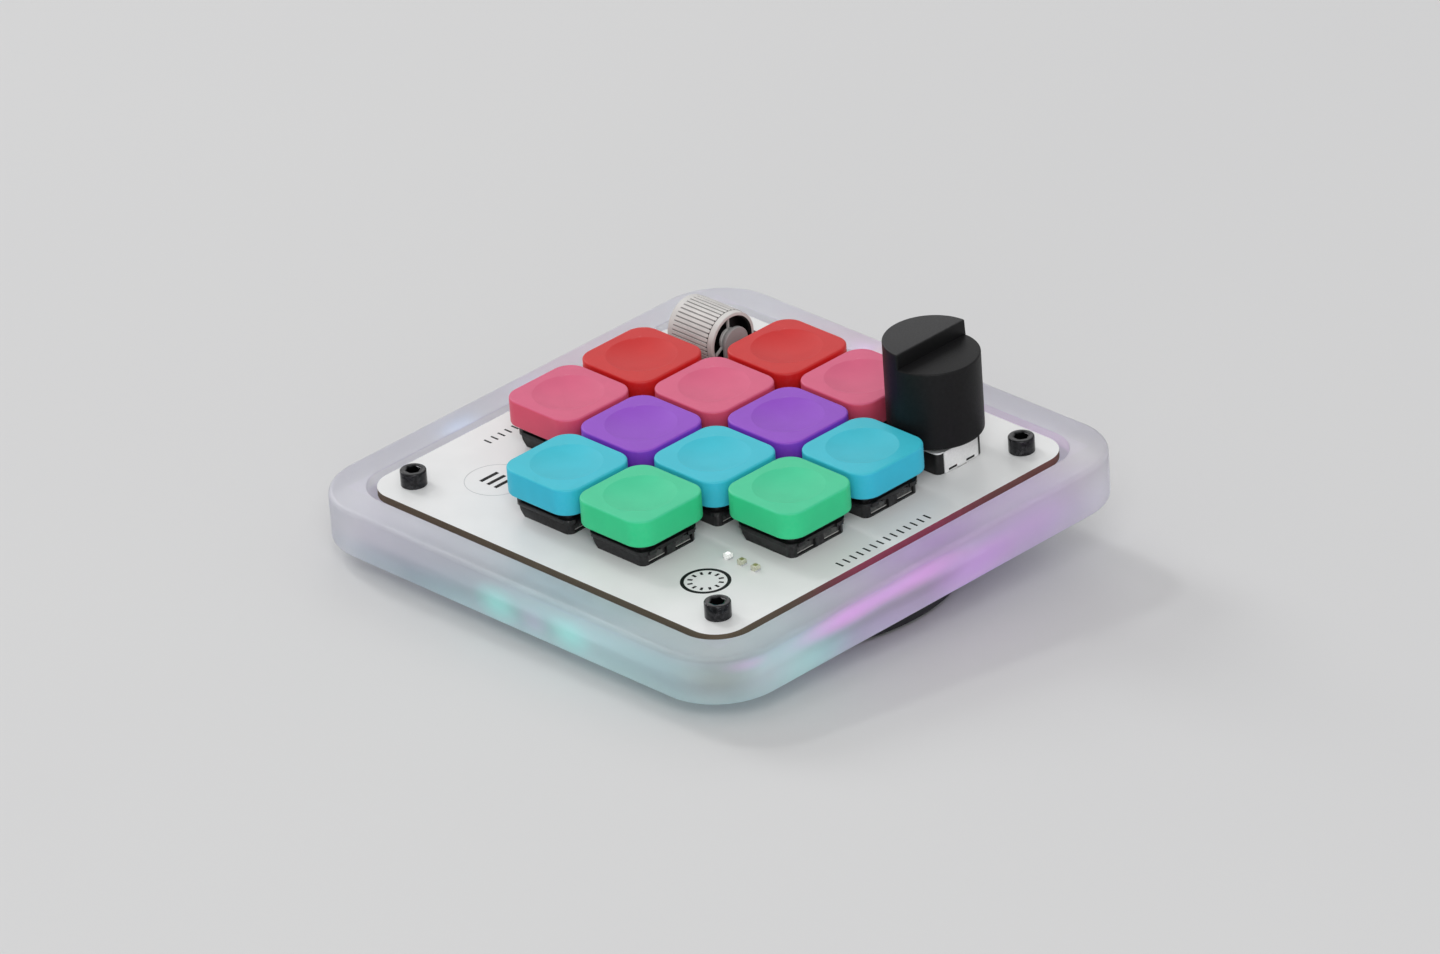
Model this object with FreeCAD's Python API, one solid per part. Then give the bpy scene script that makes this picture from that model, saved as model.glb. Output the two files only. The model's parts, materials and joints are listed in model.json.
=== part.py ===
import FreeCAD, Part
import math
import os

os.makedirs("parts", exist_ok=True)

# A desk keypad: twelve low keys, one upright knob and one lying roller on a square board, the board
# in a frosted tray, the tray tipped towards the user on a round wedge foot.
# The pieces are drawn on the board: X to the user's right, Y away from the user, Z out of the board,
# zero at the middle of the board's top face. One turn and one shift then stand them on the desk.
# Lengths are in millimetres.

# The keypad as a whole
key_pitch = 19.05
places_per_side = 4
tilt_degrees = 5.0

# Clearances that several pieces share
fit_gap = 0.05            # between pieces that are pressed or clipped together
run_gap = 0.04            # round a turning shaft, on the radius
slide_gap = 0.15          # on each side of a piece that slides
cut_over = 1.0            # how far a cutting shape runs past a face
level_reach = 0.001       # an edge this near a level lies on it

# Circuit board
board_margin = 8.0        # from the outer key places to the board's edge
board_corner = 6.0
board_thick = 1.6

# Tray
tray_wall = 6.6
tray_gap = 1.9            # from the board's edge to the pocket's wall
tray_corner = 13.2
tray_high = 9.75
tray_rise = 0.15          # the rim stands this much above the board
tray_floor = 2.0
tray_top_round = 1.0
tray_bottom_round = 0.8

# Screws that hold the board, and the brass inserts that they go into
screw_inset = 6.6         # from the board's edge to a screw's axis
screw_radius = 1.5
screw_tip = 0.4           # how far the screw reaches past its insert
head_radius = 2.48
head_high = 3.1
head_round = 0.3
socket_flats = 2.5
socket_deep = 1.6
board_hole_gap = 0.2
insert_radius = 2.1
insert_length = 4.0
thread_gap = 0.02
boss_radius = 4.5
tip_room = 0.8            # free depth past a screw's tip

# Foot
foot_radius = 46.0
foot_high = 8.3           # at its middle, from the desk to the tray
foot_round = 0.6
pad_inset = 3.0
pad_thick = 1.2
pad_proud = 0.5
foot_screw_ring = 30.0
foot_screw_count = 3
foot_screw_radius = 1.25
foot_head_radius = 2.4
foot_head_high = 1.6
foot_web = 2.0            # left of the foot between a screw's head and the tray
foot_hole_gap = 0.25
foot_boss_radius = 3.2
foot_boss_high = 3.2
foot_boss_cap = 0.8       # left of the boss above the screw's tip

# Key switch: base
base_side = 13.8
base_corner = 1.3
base_slope_run = 2.0      # the left end leans in by this much towards the board
base_wall = 1.1
flange_low = 2.2
flange_thick = 0.8
flange_proud = 0.4        # past the base on every side
flange_corner = 1.8
ear_long = 1.7
ear_proud = 0.3
ear_place = 4.9
base_floor = 0.5
cavity_corner = 0.4
centre_peg_radius = 1.7
side_peg_radius = 0.95
side_peg_place = 5.5
peg_drop = 2.65
spring_post_radius = 0.9
spring_post_high = 1.2

# Key switch: windows and clip on its right side
window_wide = 4.3
window_low = 0.4
window_high = 1.95
window_thick = 0.5
window_inset = 0.35       # from the base's side in to the windows' faces
window_frame = 0.12       # bare edge round the windows inside that recess
clip_wide = 2.2
clip_proud = 0.25
clip_low = 0.25
notch_wide = 0.9
notch_high = 0.45

# Key switch: cover, stem, spring, contacts
cover_inset = 0.2         # from the base's side to the cover's
cover_corner = 1.2
cover_roof = 0.8
cover_round = 0.35
stem_inset = 0.6          # from the cavity's wall to the stem's end
stem_deep = 4.8
shoulder_gap = 0.2        # from the shoulder's ends to the cavity's walls
shoulder_lip = 0.8        # how far the shoulder stands out under the cover
shoulder_thick = 0.6
key_travel = 3.0
stop_gap = 0.1            # left between the cap's roof and the cover when a key is down
stem_wall = 0.3           # left beside the spring's bore
stem_bore_roof = 0.35     # between the bore and the slots for the cap's prongs
spring_room = 0.39        # from the wire to the bore's wall
spring_wire = 0.11        # the wire's radius
spring_turns = 5
leaf_wide = 1.4
leaf_thick = 0.25
leaf_top = 3.4
pin_wide = 0.8
pin_drop = 3.0
long_leaf_gap = 0.4       # from the rear leaf's middle to the cavity's wall
short_leaf_gap = 0.9      # from the side leaf's middle to the cavity's side wall
leaf_clear = 0.6          # from the stem's shoulder to the side leaf's middle

# Plug-in sockets under the board
socket_wide = 9.4
socket_span = 5.0
socket_thick = 1.8
socket_barrel_radius = 1.45
socket_barrel_rise = 1.2
socket_bore_radius = 0.75

# Keycap
cap_spacing = 1.17        # between two caps side by side
cap_corner = 3.85
cap_tall = 5.32
cap_wall = 1.2
cap_roof = 1.97
cap_top_round = 0.4
cap_bottom_round = 0.4
dish_radius = 6.75
dish_deep = 1.0
prong_place = 2.85
prong_wide = 1.2
prong_deep = 3.0
prong_length = 2.75

# Upright encoder under the knob
encoder_side = 11.8
encoder_corner = 1.2
encoder_base_high = 4.2
encoder_floor = 0.8
plate_thick = 0.3
side_tab_wide = 8.8
side_tab_low = 0.12
tab_slot_wide = 2.2
tab_slot_high = 0.5
tab_slot_place = 2.3
tab_slot_low = 0.3
lug_wide = 2.0
lug_drop = 2.2
lug_gap = 0.3
encoder_pin_radius = 0.4
encoder_pin_drop = 2.6
encoder_pin_pitch = 2.5
encoder_pin_inset = 0.9
encoder_cavity_radius = 4.4
bush_wall = 0.45
bush_flange_high = 0.8
bush_top = 10.2
shaft_radius = 3.0
shaft_flat = 1.5          # from the axis to the flat
shaft_flat_low = 12.0
shaft_chamfer = 0.4
plunger_gap = 0.8         # from the plunger's side to the cavity's wall
plunger_thick = 1.0
plunger_pin_radius = 1.0
plunger_pin_high = 1.0
push_travel = 0.5

# Knob
knob_radius = 9.0
knob_under = 0.6          # left under the knob when it is pushed in
knob_tall = 15.8          # from its lower edge to the step
knob_ridge = 3.0          # from the step up to the half-moon top
knob_crown = 2.4          # from the shaft's end up to the step
knob_round = 0.35
knob_low_round = 0.6
knob_skirt = 1.6
knob_boss_wall = 2.2
knob_head = 4.4           # from the recess inside the knob up to the step
knob_bore_room = 0.3

# Lying roller
roller_shift = -1.2       # the drum's middle, left of the key place's middle
drum_clear = 0.38         # left under the drum when it is pushed in
drum_radius = 5.72
drum_long = 11.8
drum_wall = 0.87
band_long = 1.35
band_drop = 0.12
rib_count = 40
groove_deep = 0.2
groove_wide = 0.26
web_thick = 0.7
web_inset = 3.4
hub_radius = 2.2
hub_inset = 0.9
spoke_count = 3
spoke_thick = 0.42
spoke_long = 1.6
axle_radius = 1.0
arm_thick = 0.8
arm_radius = 3.0
arm_gap = 0.2
arm_toe_long = 2.6
arm_toe_high = 0.9
roller_travel = 0.4
frame_plate = 1.2
frame_margin = 1.3
frame_window_gap = 0.45
frame_corner = 0.8
frame_wall_thick = 1.1
frame_wall_high = 5.0
frame_wall_gap = 0.55
housing_thick = 1.9
housing_high = 5.0
housing_pin_cover = 1.5   # from an outer pin's middle to the housing's side
housing_gap = 0.3
housing_round = 0.6
bearing_wall = 0.85       # round the slot that the axle slides in
roller_pin_pitch = 2.4

# Small parts on the board
indicator_x = 25.9        # the first lamp's middle
indicator_y = -23.3
indicator_step = 3.5
indicator_count = 3
indicator_long = 1.4
indicator_deep = 1.3
indicator_high = 1.1
glow_long = 3.5
glow_high = 1.5
glow_inset = 4.2          # from the board's edge to a lamp's middle
glow_shift = 4.4          # the pair of lamps stands this far off the edge's middle
chip_side = 7.0
chip_high = 0.9
memory_long = 5.2
memory_deep = 4.0
memory_high = 0.9
crystal_long = 3.2
crystal_deep = 2.5
crystal_high = 0.8
regulator_long = 3.0
regulator_deep = 1.7
regulator_high = 1.1
chip_spacing = 1.6

# Cable inlet under the rear edge, between two lamps
inlet_wide = 8.94
inlet_high = 3.26
inlet_long = 7.35
inlet_wall = 0.3
inlet_overhang = 0.2
inlet_hang = 2.6          # from the board's underside down to the inlet's middle
tongue_wide = 6.69
tongue_thick = 0.7
tongue_back = 1.6
leg_long = 1.1
leg_wide = 0.5
recess_wide = 13.0
recess_high = 6.6
recess_corner = 2.0

# Levels and half sizes that follow
board_side = places_per_side * key_pitch + 2 * board_margin
board_half = board_side / 2
pocket_side = board_side + 2 * tray_gap
pocket_corner = board_corner + tray_gap
tray_side = pocket_side + 2 * tray_wall
tray_bottom = tray_rise - tray_high
pocket_floor = tray_bottom + tray_floor
screw_place = board_half - screw_inset
screw_length = board_thick + insert_length + screw_tip
foot_screw_reach = tray_floor + foot_boss_high - foot_boss_cap
corner_place = (places_per_side - 1) / 2 * key_pitch
flange_high = flange_low + flange_thick
flange_side = base_side + 2 * flange_proud
cavity_side = base_side - 2 * base_wall
cover_side = base_side - 2 * cover_inset
cover_high = base_floor + key_travel + shoulder_thick + cover_roof + 2 * fit_gap
stem_wide = cavity_side - 2 * stem_inset
shoulder_wide = cavity_side - 2 * shoulder_gap
shoulder_deep = stem_deep + 2 * shoulder_lip
shoulder_top = cover_high - cover_roof - fit_gap
shoulder_low = shoulder_top - shoulder_thick
stem_top = cover_high + key_travel + stop_gap
stem_bore_top = stem_top - prong_length - stem_bore_roof
stem_bore_radius = stem_deep / 2 - stem_wall
spring_radius = stem_bore_radius - spring_room - spring_wire   # to the wire's centre
cap_side = key_pitch - cap_spacing
cap_high = stem_top + cap_roof
cap_low = cap_high - cap_tall
pin_places = [(0.0, cavity_side / 2 - long_leaf_gap),
              (cavity_side / 2 - short_leaf_gap, shoulder_deep / 2 + leaf_clear)]
bush_radius = shaft_radius + bush_wall
bush_flange_radius = encoder_cavity_radius - 2 * slide_gap
plunger_radius = encoder_cavity_radius - plunger_gap
plunger_low = encoder_floor + push_travel + 2 * fit_gap
shaft_low = plunger_low + plunger_thick + fit_gap
knob_low = encoder_base_high + plate_thick + push_travel + knob_under
knob_step = knob_low + knob_tall
knob_top = knob_step + knob_ridge
knob_recess_top = knob_step - knob_head
knob_boss_radius = shaft_radius + knob_boss_wall
knob_boss_low = bush_top + push_travel + slide_gap
shaft_top = knob_step - knob_crown
drum_bore_radius = drum_radius - drum_wall
roller_axis_high = drum_radius + roller_travel + drum_clear
arm_low = frame_plate + roller_travel + slide_gap
inlet_x = -glow_shift
inlet_drop = board_thick + inlet_hang


def vec(x, y, z):
    return FreeCAD.Vector(x, y, z)


def rounded_outline(wide, deep, corner, z, x0=0.0, y0=0.0):
    """A closed outline: a rectangle with round corners, lying flat at height z."""
    x, y = wide / 2, deep / 2
    inner_x, inner_y = x - corner, y - corner
    bulge = corner * math.sqrt(0.5)
    turns = [(1, 1), (-1, 1), (-1, -1), (1, -1)]
    edges = []
    for i, (sx, sy) in enumerate(turns):
        centre = vec(x0 + sx * inner_x, y0 + sy * inner_y, z)
        along_x = centre + vec(sx * corner, 0, 0)
        along_y = centre + vec(0, sy * corner, 0)
        middle = centre + vec(sx * bulge, sy * bulge, 0)
        first, last = (along_x, along_y) if sx == sy else (along_y, along_x)
        edges.append(Part.Arc(first, middle, last).toShape())
        next_x, next_y = turns[(i + 1) % len(turns)]
        next_centre = vec(x0 + next_x * inner_x, y0 + next_y * inner_y, z)
        step = vec(0, sy * corner, 0) if sx == sy else vec(sx * corner, 0, 0)
        edges.append(Part.LineSegment(last, next_centre + step).toShape())
    return Part.Wire(edges)


def rounded_block(wide, deep, corner, low, high, x0=0.0, y0=0.0):
    outline = rounded_outline(wide, deep, corner, low, x0, y0)
    return Part.Face(outline).extrude(vec(0, 0, high - low))


def block(x_low, x_high, y_low, y_high, low, high):
    return Part.makeBox(x_high - x_low, y_high - y_low, high - low, vec(x_low, y_low, low))


def centred_block(wide, deep, low, high, x0=0.0, y0=0.0):
    return block(x0 - wide / 2, x0 + wide / 2, y0 - deep / 2, y0 + deep / 2, low, high)


def post(radius, low, high, x0=0.0, y0=0.0):
    return Part.makeCylinder(radius, high - low, vec(x0, y0, low))


def bar(radius, x_low, x_high, y0, z0):
    """A round bar that lies along X."""
    return Part.makeCylinder(radius, x_high - x_low, vec(x_low, y0, z0), vec(1, 0, 0))


def round_level(shape, radius, z):
    """Rounds every edge that lies at height z."""
    edges = [e for e in shape.Edges
             if abs(e.BoundBox.ZMin - z) < level_reach and abs(e.BoundBox.ZMax - z) < level_reach]
    return shape.makeFillet(radius, edges)


def place_x(column):
    return (column - (places_per_side + 1) / 2) * key_pitch


def place_y(row):
    return ((places_per_side + 1) / 2 - row) * key_pitch


def is_corner(row, column):
    return row in (1, places_per_side) and column in (1, places_per_side)


all_places = [(row, column) for row in range(1, places_per_side + 1)
              for column in range(1, places_per_side + 1)]
key_places = [p for p in all_places if not is_corner(*p)]


def moved(shape, x, y):
    copy = shape.copy()
    copy.translate(vec(x, y, 0))
    return copy


def at_keys(shape):
    """One copy of a switch piece at every key place, as a group of separate solids."""
    return Part.makeCompound([moved(shape, place_x(c), place_y(r)) for r, c in key_places])


def stand(shape):
    """Turns a piece from the board's axes to the desk's, and lifts it onto the foot."""
    turn = math.radians(tilt_degrees)
    copy = shape.copy()
    copy.rotate(vec(0, 0, 0), vec(1, 0, 0), tilt_degrees)
    copy.translate(vec(0, tray_bottom * math.sin(turn), foot_high - tray_bottom * math.cos(turn)))
    return copy


def save(name, shape):
    shape.exportStep("parts/" + name + ".step")
    print(name, "solids", len(shape.Solids), "valid", shape.isValid(), "volume", round(shape.Volume, 2))


def screw_places():
    return [(sx * screw_place, sy * screw_place) for sx in (-1, 1) for sy in (-1, 1)]


def foot_screw_places():
    angles = [math.radians(90 + 360 * i / foot_screw_count) for i in range(foot_screw_count)]
    return [(foot_screw_ring * math.cos(a), foot_screw_ring * math.sin(a)) for a in angles]


# Tray
def make_tray():
    tray = rounded_block(tray_side, tray_side, tray_corner, tray_bottom, tray_rise)
    tray = round_level(tray, tray_top_round, tray_rise)
    tray = round_level(tray, tray_bottom_round, tray_bottom)
    tray = tray.cut(rounded_block(pocket_side, pocket_side, pocket_corner, pocket_floor, tray_rise + cut_over))
    board_low = -board_thick
    for x, y in screw_places():
        tray = tray.fuse(post(boss_radius, pocket_floor, board_low, x, y))
        tray = tray.cut(post(insert_radius + fit_gap, board_low - insert_length - fit_gap, board_low, x, y))
        tray = tray.cut(post(screw_radius + fit_gap, -screw_length - tip_room, board_low, x, y))
    boss_top = pocket_floor + foot_boss_high
    for x, y in foot_screw_places():
        tray = tray.fuse(post(foot_boss_radius, pocket_floor, boss_top, x, y))
        tray = tray.cut(post(foot_screw_radius + thread_gap, tray_bottom, boss_top, x, y))
    recess = rounded_block(recess_wide, recess_high, recess_corner, 0, tray_wall + 2 * cut_over)
    recess.rotate(vec(0, 0, 0), vec(1, 0, 0), -90)
    recess.translate(vec(inlet_x, pocket_side / 2 - cut_over, -inlet_drop))
    return tray.cut(recess)


# Circuit board
def make_board():
    board = rounded_block(board_side, board_side, board_corner, -board_thick, 0)
    low, high = -board_thick, 0.0
    holes = [post(screw_radius + board_hole_gap, low, high, x, y) for x, y in screw_places()]
    for row, column in key_places:
        x, y = place_x(column), place_y(row)
        holes.append(post(centre_peg_radius + fit_gap, low, high, x, y))
        for side in (-1, 1):
            holes.append(post(side_peg_radius + fit_gap, low, high, x + side * side_peg_place, y))
        for pin_x, pin_y in pin_places:
            holes.append(post(socket_barrel_radius + fit_gap, low, high, x + pin_x, y + pin_y))
    for side in (-1, 1):
        lug_x = corner_place + side * (encoder_side + plate_thick) / 2
        holes.append(centred_block(plate_thick + lug_gap, lug_wide + lug_gap, low, high, lug_x, corner_place))
    for x, y in encoder_pin_places() + roller_pin_places():
        holes.append(post(encoder_pin_radius + fit_gap, low, high, x, y))
    return board.cut(holes)


# Screws and inserts
def make_screw():
    head = round_level(post(head_radius, 0, head_high), head_round, head_high)
    across = socket_flats / math.sqrt(3)
    corners = [vec(across * math.cos(math.radians(60 * i)), across * math.sin(math.radians(60 * i)), head_high)
               for i in range(6)]
    hexagon = Part.Face(Part.makePolygon(corners + corners[:1]))
    head = head.cut(hexagon.extrude(vec(0, 0, -socket_deep)))
    return head.fuse(post(screw_radius, -screw_length, 0))


def make_insert():
    low = -board_thick - insert_length
    sleeve = post(insert_radius, low, -board_thick)
    return sleeve.cut(post(screw_radius + thread_gap, low, -board_thick))


# Foot, its screws and its rubber pad
def make_foot():
    foot = post(foot_radius, pad_proud, foot_high + foot_radius)
    foot = round_level(foot, foot_round, pad_proud)
    above = stand(centred_block(2 * tray_side, 2 * tray_side, tray_bottom, tray_bottom + tray_side))
    foot = foot.cut(above)
    foot = foot.cut(post(foot_radius - pad_inset + fit_gap, 0, pad_thick))
    head_top = tray_bottom - foot_web
    for x, y in foot_screw_places():
        foot = foot.cut(stand(post(foot_screw_radius + foot_hole_gap, head_top - cut_over, tray_bottom, x, y)))
        foot = foot.cut(stand(post(foot_head_radius + foot_hole_gap, head_top - foot_radius, head_top, x, y)))
    return foot


def make_foot_screw():
    head_top = tray_bottom - foot_web
    head = post(foot_head_radius, head_top - foot_head_high, head_top)
    head = round_level(head, head_round, head_top - foot_head_high)
    return head.fuse(post(foot_screw_radius, head_top, tray_bottom + foot_screw_reach))


def make_pad():
    return post(foot_radius - pad_inset, 0, pad_thick)


# Key switch
def window_places():
    offset = (clip_wide + window_wide) / 2 + fit_gap
    return [-offset, offset]


def make_switch_base():
    half = base_side / 2
    tub = rounded_block(base_side, base_side, base_corner, 0, flange_low)
    lean = [vec(-half, -base_side, flange_low), vec(base_slope_run - half, -base_side, 0),
            vec(base_slope_run - half, -base_side, -cut_over), vec(-half - cut_over, -base_side, -cut_over),
            vec(-half - cut_over, -base_side, flange_low)]
    tub = tub.cut(Part.Face(Part.makePolygon(lean + lean[:1])).extrude(vec(0, 2 * base_side, 0)))
    body = tub.fuse(rounded_block(flange_side, flange_side, flange_corner, flange_low, flange_high))
    for sx in (-1, 1):
        for sy in (-1, 1):
            ear = centred_block(2 * ear_proud, ear_long, flange_low, flange_high, sx * flange_side / 2,
                                sy * ear_place)
            body = body.fuse(ear)
    body = body.cut(rounded_block(cavity_side, cavity_side, cavity_corner, base_floor, flange_high))
    body = body.fuse(post(spring_post_radius, 0, base_floor + spring_post_high))
    body = body.fuse(post(centre_peg_radius, -peg_drop, base_floor))
    for side in (-1, 1):
        body = body.fuse(post(side_peg_radius, -peg_drop, base_floor, side * side_peg_place))
    face = half - window_inset
    reach = window_places()[1] + window_wide / 2 + window_frame
    body = body.cut(block(face, half + cut_over, -reach, reach, window_low - window_frame, flange_low))
    for y in window_places():
        body = body.cut(block(face - window_thick, face + cut_over, y - window_wide / 2, y + window_wide / 2,
                              window_low, window_high))
        body = body.cut(block(face, half + flange_proud + cut_over, y - notch_wide / 2, y + notch_wide / 2,
                              flange_low, flange_low + notch_high))
    clip = block(face - window_thick, half + clip_proud, -clip_wide / 2, clip_wide / 2, clip_low, flange_low)
    body = body.fuse(clip)
    for x, y in pin_places:
        body = body.cut(centred_block(pin_wide + 2 * fit_gap, leaf_thick + 2 * fit_gap, 0, base_floor, x, y))
    return body


def make_windows():
    low, high = window_low + fit_gap, window_high - fit_gap
    wide = window_wide - 2 * fit_gap
    x_high = base_side / 2 - window_inset
    x_low = x_high - window_thick + fit_gap
    panes = [block(x_low, x_high, y - wide / 2, y + wide / 2, low, high) for y in window_places()]
    return Part.makeCompound(panes)


def make_cover():
    cover = rounded_block(cover_side, cover_side, cover_corner, flange_high, cover_high)
    cover = round_level(cover, cover_round, cover_high)
    roof_low = cover_high - cover_roof
    cover = cover.cut(rounded_block(cavity_side, cavity_side, cavity_corner, flange_high, roof_low))
    return cover.cut(centred_block(stem_wide + 2 * slide_gap, stem_deep + 2 * slide_gap, roof_low, cover_high))


def make_stem():
    stem = centred_block(stem_wide, stem_deep, shoulder_low, stem_top)
    stem = stem.fuse(centred_block(shoulder_wide, shoulder_deep, shoulder_low, shoulder_top))
    stem = stem.cut(post(stem_bore_radius, shoulder_low, stem_bore_top))
    slot_low = stem_top - prong_length - fit_gap
    for side in (-1, 1):
        slot = centred_block(prong_wide + 2 * fit_gap, prong_deep + 2 * fit_gap, slot_low, stem_top,
                             side * prong_place)
        stem = stem.cut(slot)
    return stem


def make_spring():
    low = base_floor + fit_gap + spring_wire
    high = stem_bore_top - fit_gap - spring_wire
    rise = (high - low) / spring_turns
    print("spring: gap between turns", round(rise - 2 * spring_wire, 3))

    def on_coil(quarters):
        turn = math.pi / 2 * quarters
        return vec(spring_radius * math.cos(turn), spring_radius * math.sin(turn), low + rise * quarters / 4)

    arcs = [Part.Arc(on_coil(q), on_coil(q + 0.5), on_coil(q + 1)).toShape() for q in range(4 * spring_turns)]
    path = Part.Wire(arcs)
    heading = arcs[0].tangentAt(arcs[0].FirstParameter)
    ring = Part.Wire([Part.makeCircle(spring_wire, on_coil(0), heading)])
    return path.makePipeShell([ring], True, False)


def make_contacts():
    leaves = []
    for x, y in pin_places:
        leaf = centred_block(leaf_wide, leaf_thick, base_floor, leaf_top, x, y)
        leaves.append(leaf.fuse(centred_block(pin_wide, leaf_thick, -pin_drop, base_floor, x, y)))
    return Part.makeCompound(leaves)


def make_socket():
    top = -board_thick
    middle_x = sum(x for x, _ in pin_places) / len(pin_places)
    middle_y = sum(y for _, y in pin_places) / len(pin_places)
    socket = centred_block(socket_wide, socket_span, top - socket_thick, top, middle_x, middle_y)
    for x, y in pin_places:
        socket = socket.fuse(post(socket_barrel_radius, top, top + socket_barrel_rise, x, y))
    for x, y in pin_places:
        socket = socket.cut(post(socket_bore_radius, top - socket_thick, top + socket_barrel_rise, x, y))
    return socket


def make_keycap():
    cap = rounded_block(cap_side, cap_side, cap_corner, cap_low, cap_high)
    cap = round_level(cap, cap_top_round, cap_high)
    cap = round_level(cap, cap_bottom_round, cap_low)
    ball = (dish_radius ** 2 + dish_deep ** 2) / (2 * dish_deep)
    cap = cap.cut(Part.makeSphere(ball, vec(0, 0, cap_high - dish_deep + ball)))
    inner_side = cap_side - 2 * cap_wall
    cap = cap.cut(rounded_block(inner_side, inner_side, cap_corner - cap_wall, cap_low, stem_top))
    for side in (-1, 1):
        prong = centred_block(prong_wide, prong_deep, stem_top - prong_length, stem_top, side * prong_place)
        cap = cap.fuse(prong)
    return cap


# Upright encoder
def encoder_pin_places():
    row_y = encoder_side / 2 - encoder_pin_inset
    front = [(corner_place + i * encoder_pin_pitch, corner_place - row_y) for i in (-1, 0, 1)]
    rear = [(corner_place + i * encoder_pin_pitch, corner_place + row_y) for i in (-1, 1)]
    return front + rear


def make_encoder_base():
    base = rounded_block(encoder_side, encoder_side, encoder_corner, 0, encoder_base_high)
    return base.cut(post(encoder_cavity_radius, encoder_floor, encoder_base_high))


def make_encoder_cover():
    top = encoder_base_high + plate_thick
    cover = rounded_block(encoder_side, encoder_side, encoder_corner, encoder_base_high, top)
    half = encoder_side / 2
    for side in (-1, 1):
        x = side * (half + plate_thick / 2)
        cover = cover.fuse(centred_block(plate_thick, side_tab_wide, side_tab_low, top, x, 0))
        cover = cover.fuse(centred_block(plate_thick, lug_wide, -lug_drop, side_tab_low, x, 0))
        for end in (-1, 1):
            slot = centred_block(2 * plate_thick, tab_slot_wide, tab_slot_low, tab_slot_low + tab_slot_high,
                                 x, end * tab_slot_place)
            cover = cover.cut(slot)
    return cover.cut(post(bush_radius + fit_gap, encoder_base_high, top))


def make_pins(places):
    pins = [post(encoder_pin_radius, -encoder_pin_drop, 0, x, y) for x, y in places]
    return Part.makeCompound(pins)


def make_bush():
    flange_top = encoder_base_high - fit_gap
    bush = post(bush_flange_radius, flange_top - bush_flange_high, flange_top)
    bush = bush.fuse(post(bush_radius, flange_top, bush_top))
    return bush.cut(post(shaft_radius + run_gap, flange_top - bush_flange_high, bush_top))


def make_shaft():
    shaft = post(shaft_radius, shaft_low, shaft_top)
    tip = [e for e in shaft.Edges if e.BoundBox.ZMin > shaft_top - level_reach]
    shaft = shaft.makeChamfer(shaft_chamfer, tip)
    shaft = shaft.cut(block(shaft_flat, 2 * shaft_radius, -shaft_radius, shaft_radius, shaft_flat_low, shaft_top))
    bore_top = plunger_low + plunger_thick + plunger_pin_high + fit_gap
    return shaft.cut(post(plunger_pin_radius + run_gap, shaft_low, bore_top))


def make_plunger():
    top = plunger_low + plunger_thick
    return post(plunger_radius, plunger_low, top).fuse(post(plunger_pin_radius, top, top + plunger_pin_high))


# Knob
def make_knob():
    low_part = round_level(post(knob_radius, knob_low, knob_step), knob_round, knob_step)
    low_part = round_level(low_part, knob_low_round, knob_low)
    high_part = post(knob_radius, knob_low + knob_low_round, knob_top)
    side = 2 * knob_radius
    high_part = high_part.cut(block(0, side, -side, side, knob_low, knob_top + cut_over))
    high_part = round_level(high_part, knob_round, knob_top)
    knob = low_part.fuse(high_part)
    knob = knob.cut(post(knob_radius - knob_skirt, knob_low, knob_recess_top))
    knob = knob.fuse(post(knob_boss_radius, knob_boss_low, knob_recess_top))
    bore = post(shaft_radius + fit_gap / 2, knob_boss_low, shaft_top + knob_bore_room)
    flat_x = shaft_flat + fit_gap / 2
    bore = bore.cut(block(flat_x, 2 * shaft_radius, -shaft_radius, shaft_radius,
                          shaft_flat_low + knob_bore_room, shaft_top + knob_bore_room))
    bore = bore.cut(block(-shaft_radius, shaft_radius, -shaft_radius, shaft_radius,
                          shaft_top + knob_bore_room, shaft_top + cut_over))
    return knob.cut(bore)


# Roller: drawn at the middle of its place, then moved
roller_x = place_x(1) + roller_shift
roller_y = place_y(1)
drum_half = drum_long / 2
arm_outer = drum_half + arm_gap + arm_thick


def make_drum():
    drum = bar(drum_radius, -drum_half, drum_half, 0, roller_axis_high)
    for side in (-1, 1):
        ends = sorted((side * drum_half, side * (drum_half - band_long)))
        ring = bar(drum_radius + cut_over, ends[0], ends[1], 0, roller_axis_high)
        drum = drum.cut(ring.cut(bar(drum_radius - band_drop, ends[0], ends[1], 0, roller_axis_high)))
    ribbed = drum_half - band_long
    groove = block(-ribbed, ribbed, -groove_wide / 2, groove_wide / 2,
                   roller_axis_high + drum_radius - groove_deep, roller_axis_high + drum_radius + cut_over)
    grooves = []
    for i in range(rib_count):
        copy = groove.copy()
        copy.rotate(vec(0, 0, roller_axis_high), vec(1, 0, 0), 360 * i / rib_count)
        grooves.append(copy)
    drum = drum.cut(grooves)
    drum = drum.cut(bar(drum_bore_radius, -drum_half, drum_half, 0, roller_axis_high))
    drum = drum.fuse(bar(drum_bore_radius, -drum_half + web_inset, -drum_half + web_inset + web_thick, 0,
                         roller_axis_high))
    hub_high = drum_half - hub_inset
    drum = drum.fuse(bar(hub_radius, -drum_half + web_inset, hub_high, 0, roller_axis_high))
    for i in range(spoke_count):
        spoke = block(hub_high - spoke_long, hub_high, -spoke_thick / 2, spoke_thick / 2,
                      roller_axis_high, roller_axis_high + drum_bore_radius + band_drop)
        spoke.rotate(vec(0, 0, roller_axis_high), vec(1, 0, 0), 360 * i / spoke_count)
        drum = drum.fuse(spoke)
    return drum.cut(bar(axle_radius + run_gap, -drum_half, drum_half, 0, roller_axis_high))


def make_axle():
    return bar(axle_radius, -drum_half - housing_gap - housing_thick + fit_gap, drum_half + arm_gap, 0,
               roller_axis_high)


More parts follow.
